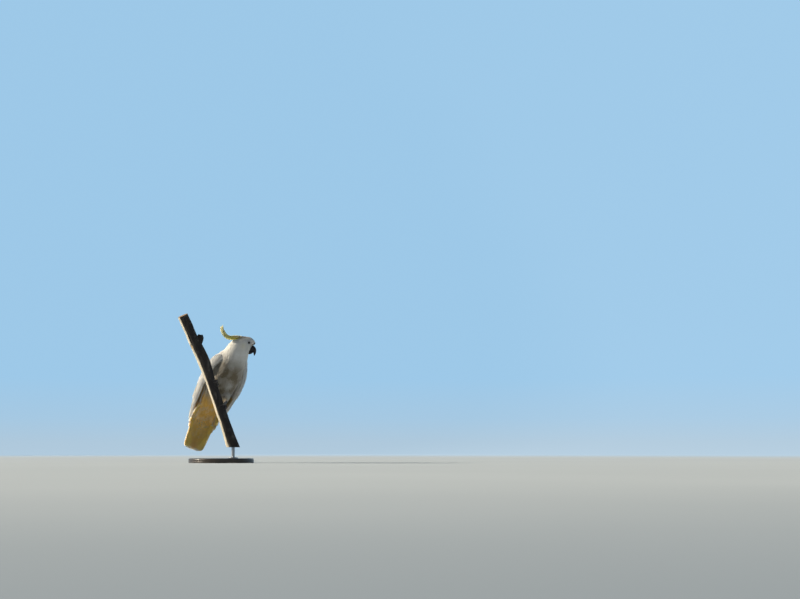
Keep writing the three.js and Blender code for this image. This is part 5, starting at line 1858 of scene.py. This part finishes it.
groove = [[BASE["radius"], 6], [BASE["radius"] - 1.2, 7], [BASE["radius"], 8]]
base_corners = [[1, 0], [BASE["radius"] - 1, 0], [BASE["radius"], 1], *groove,
                [BASE["radius"], BASE["height"] - BASE["edge"]],
                [BASE["radius"] - BASE["edge"], BASE["height"]], [1, BASE["height"]]]
lathe_piece("stand_disc", base_corners, 1.6, 0, 0, 180, "stand_wood", BASE_WOOD, "stand_base")
foot, top = BASE["height"] + ROD["gap"], BRANCH_FOOT - ROD["gap"]
rod_corners = [[0.5, foot], [ROD["flange"], foot], [ROD["flange"], foot + ROD["flange_height"]],
               [ROD["radius"], foot + ROD["flange_height"]], [ROD["radius"], top], [0.5, top]]
lathe_piece("stand_post", rod_corners, 1.0, ROD["x"], ROD["y"], 72, "stand_metal", ROD_STEEL, "stand_rod")

# %% Screws of the flange
SCREW = {"radius": 2.3, "height": 1.0, "ring": 13.2, "slot": 0.55, "half_slot": 0.35}
SCREW_RINGS, SCREW_SIDES = 12, 40


def screw_head(k):
    """A domed head with a straight slot across it."""
    angle = math.radians(90 * k + 35)
    x = ROD["x"] + SCREW["ring"] * math.cos(angle)
    y = ROD["y"] + SCREW["ring"] * math.sin(angle)
    ground = foot + ROD["flange_height"]
    share = np.linspace(0, 1, SCREW_RINGS)[:, None]
    turn = full_turn(SCREW_SIDES)
    reach = SCREW["radius"] * np.sin(share * math.pi / 2)
    px, py = reach * np.cos(turn), reach * np.sin(turn)
    slot = SCREW["slot"] * (np.abs(px * math.cos(k) + py * math.sin(k)) < SCREW["half_slot"])
    high = ground + SCREW["height"] * np.cos(share * math.pi / 2) ** 0.7 - slot * (share < 0.9)
    rings = np.stack([px + x, py + y, high + 0 * px], -1)
    faces = ring_faces(SCREW_RINGS, SCREW_SIDES, shut=False)
    return mesh_of("stand_screw_" + str(k), rings.reshape(-1, 3), faces)


for k in range(3):
    finish_piece(screw_head(k), "stand_metal", ROD_STEEL)

# %% [markdown]
# ## Studio
# The room is a pale floor that curves up into a glowing backdrop, so no edge shows behind the bird.
# A low warm light from the bird's right side lights its edges, and a wide soft one fills the front.

# %% Floor and backdrop
def paper_finish():
    """Pale paper that is lit from behind where it stands upright, like a screen."""
    material, tree, shader = new_material("studio_paper")
    wall, high, glow = (carried(tree, label) for label in ("wall", "high", "glow"))
    tone = effect(tree, PATCHES, Size=1.5, Low=0.3, High=0.7)
    paper = blend_colours(tree, tone["Mask"], colour(0.46, 0.52, 0.57), colour(0.48, 0.54, 0.59))
    unlit = colour(0.0, 0.0, 0.0)
    dress(tree, shader, blend_colours(tree, wall, paper, unlit), 0.95, Emission_Strength=1.0)
    screen = blend_colours(tree, high, colour(0.42, 0.56, 0.68), colour(0.335, 0.575, 0.80))
    tree.links.new(blend_colours(tree, glow, unlit, screen), shader.inputs["Emission Color"])
    return material


radius = np.array([0.01, 1, 3, 4, 5, 6, 7, 8.5, 9.5, 10.5, 11.3, 12.0, 12.5, 12.9, 13.2, 13.2]) * 1000
height = np.array([0, 0, 0, 0, 0, 0, 0, 0, 0, 0.12, 0.38, 0.85, 1.5, 2.4, 4, 5.7]) * 1000
FLOOR_SIDES = 96
rings = swept(radius, height, FLOOR_SIDES)
# the backdrop is tall only behind the bird, so that it doesn't stand in the key light's way
rings[..., 2] *= mix(0.52, 1, ease(3000, 9000, rings[..., 1]))
wall = np.repeat(ease(3500, 8000, radius), FLOOR_SIDES)
high = np.repeat(ease(0, 700, height), FLOOR_SIDES)
# the screen glows less behind the camera, so that the bird's front stays in shade
glow = wall * mix(0.32, 1, ease(-5000, 4000, rings[..., 1].ravel()))
faces = [f[:, ::-1] for f in ring_faces(len(radius), FLOOR_SIDES, shut=False)]
floor = mesh_of("floor", rings.reshape(-1, 3), faces, {"wall": wall, "high": high, "glow": glow})
floor.data.materials.append(paper_finish())
print("the floor reaches", radius[-1] / 1000, "m out")


# %% Lights
def distant_light(name, turn, elevation, power, softness, tint):
    """A light from far off. turn is the angle from straight behind the bird towards the right."""
    light = bpy.data.lights.new(name, "SUN")
    light.energy, light.angle, light.color = power, math.radians(softness), tint
    lamp = bpy.data.objects.new(name, light)
    bpy.context.scene.collection.objects.link(lamp)
    lamp.rotation_euler = (math.radians(90 - elevation), 0, math.radians(180 - turn))
    return lamp


distant_light("key_light", turn=-84, elevation=29, power=6.1, softness=5, tint=(1.0, 0.88, 0.70))
distant_light("fill_light", turn=140, elevation=35, power=0.2, softness=70, tint=(1.0, 0.92, 0.82))
world = bpy.data.worlds.new("soft_room")
world.use_nodes = True
room = world.node_tree.nodes["Background"].inputs
room["Color"].default_value = colour(0.60, 0.76, 0.96)
room["Strength"].default_value = 0.13
bpy.context.scene.world = world
bpy.context.scene.view_settings.view_transform = "Standard"
print("two lights and a soft room")

# %% [markdown]
# ## Camera
# A long lens from low down and far off, as a bird watcher has it. It looks up a little at the bird
# and never goes under the floor.

# %% Camera
STANDS_AT = (-0.012, -6.46774, 0.060)  # metres
LOOKS_UP, LOOKS_RIGHT = 5.2954, 6.4499  # degrees
lens = bpy.data.cameras.new("camera")
lens.lens, lens.sensor_width, lens.sensor_fit = 72, 36, "HORIZONTAL"
lens.clip_start, lens.clip_end = 0.05, 60
camera = bpy.data.objects.new("camera", lens)
bpy.context.scene.collection.objects.link(camera)
camera.location = STANDS_AT
camera.rotation_euler = (math.radians(90 + LOOKS_UP), 0, math.radians(-LOOKS_RIGHT))
bpy.context.scene.camera = camera
print("the camera stands", round(-camera.location.y, 2), "m off")
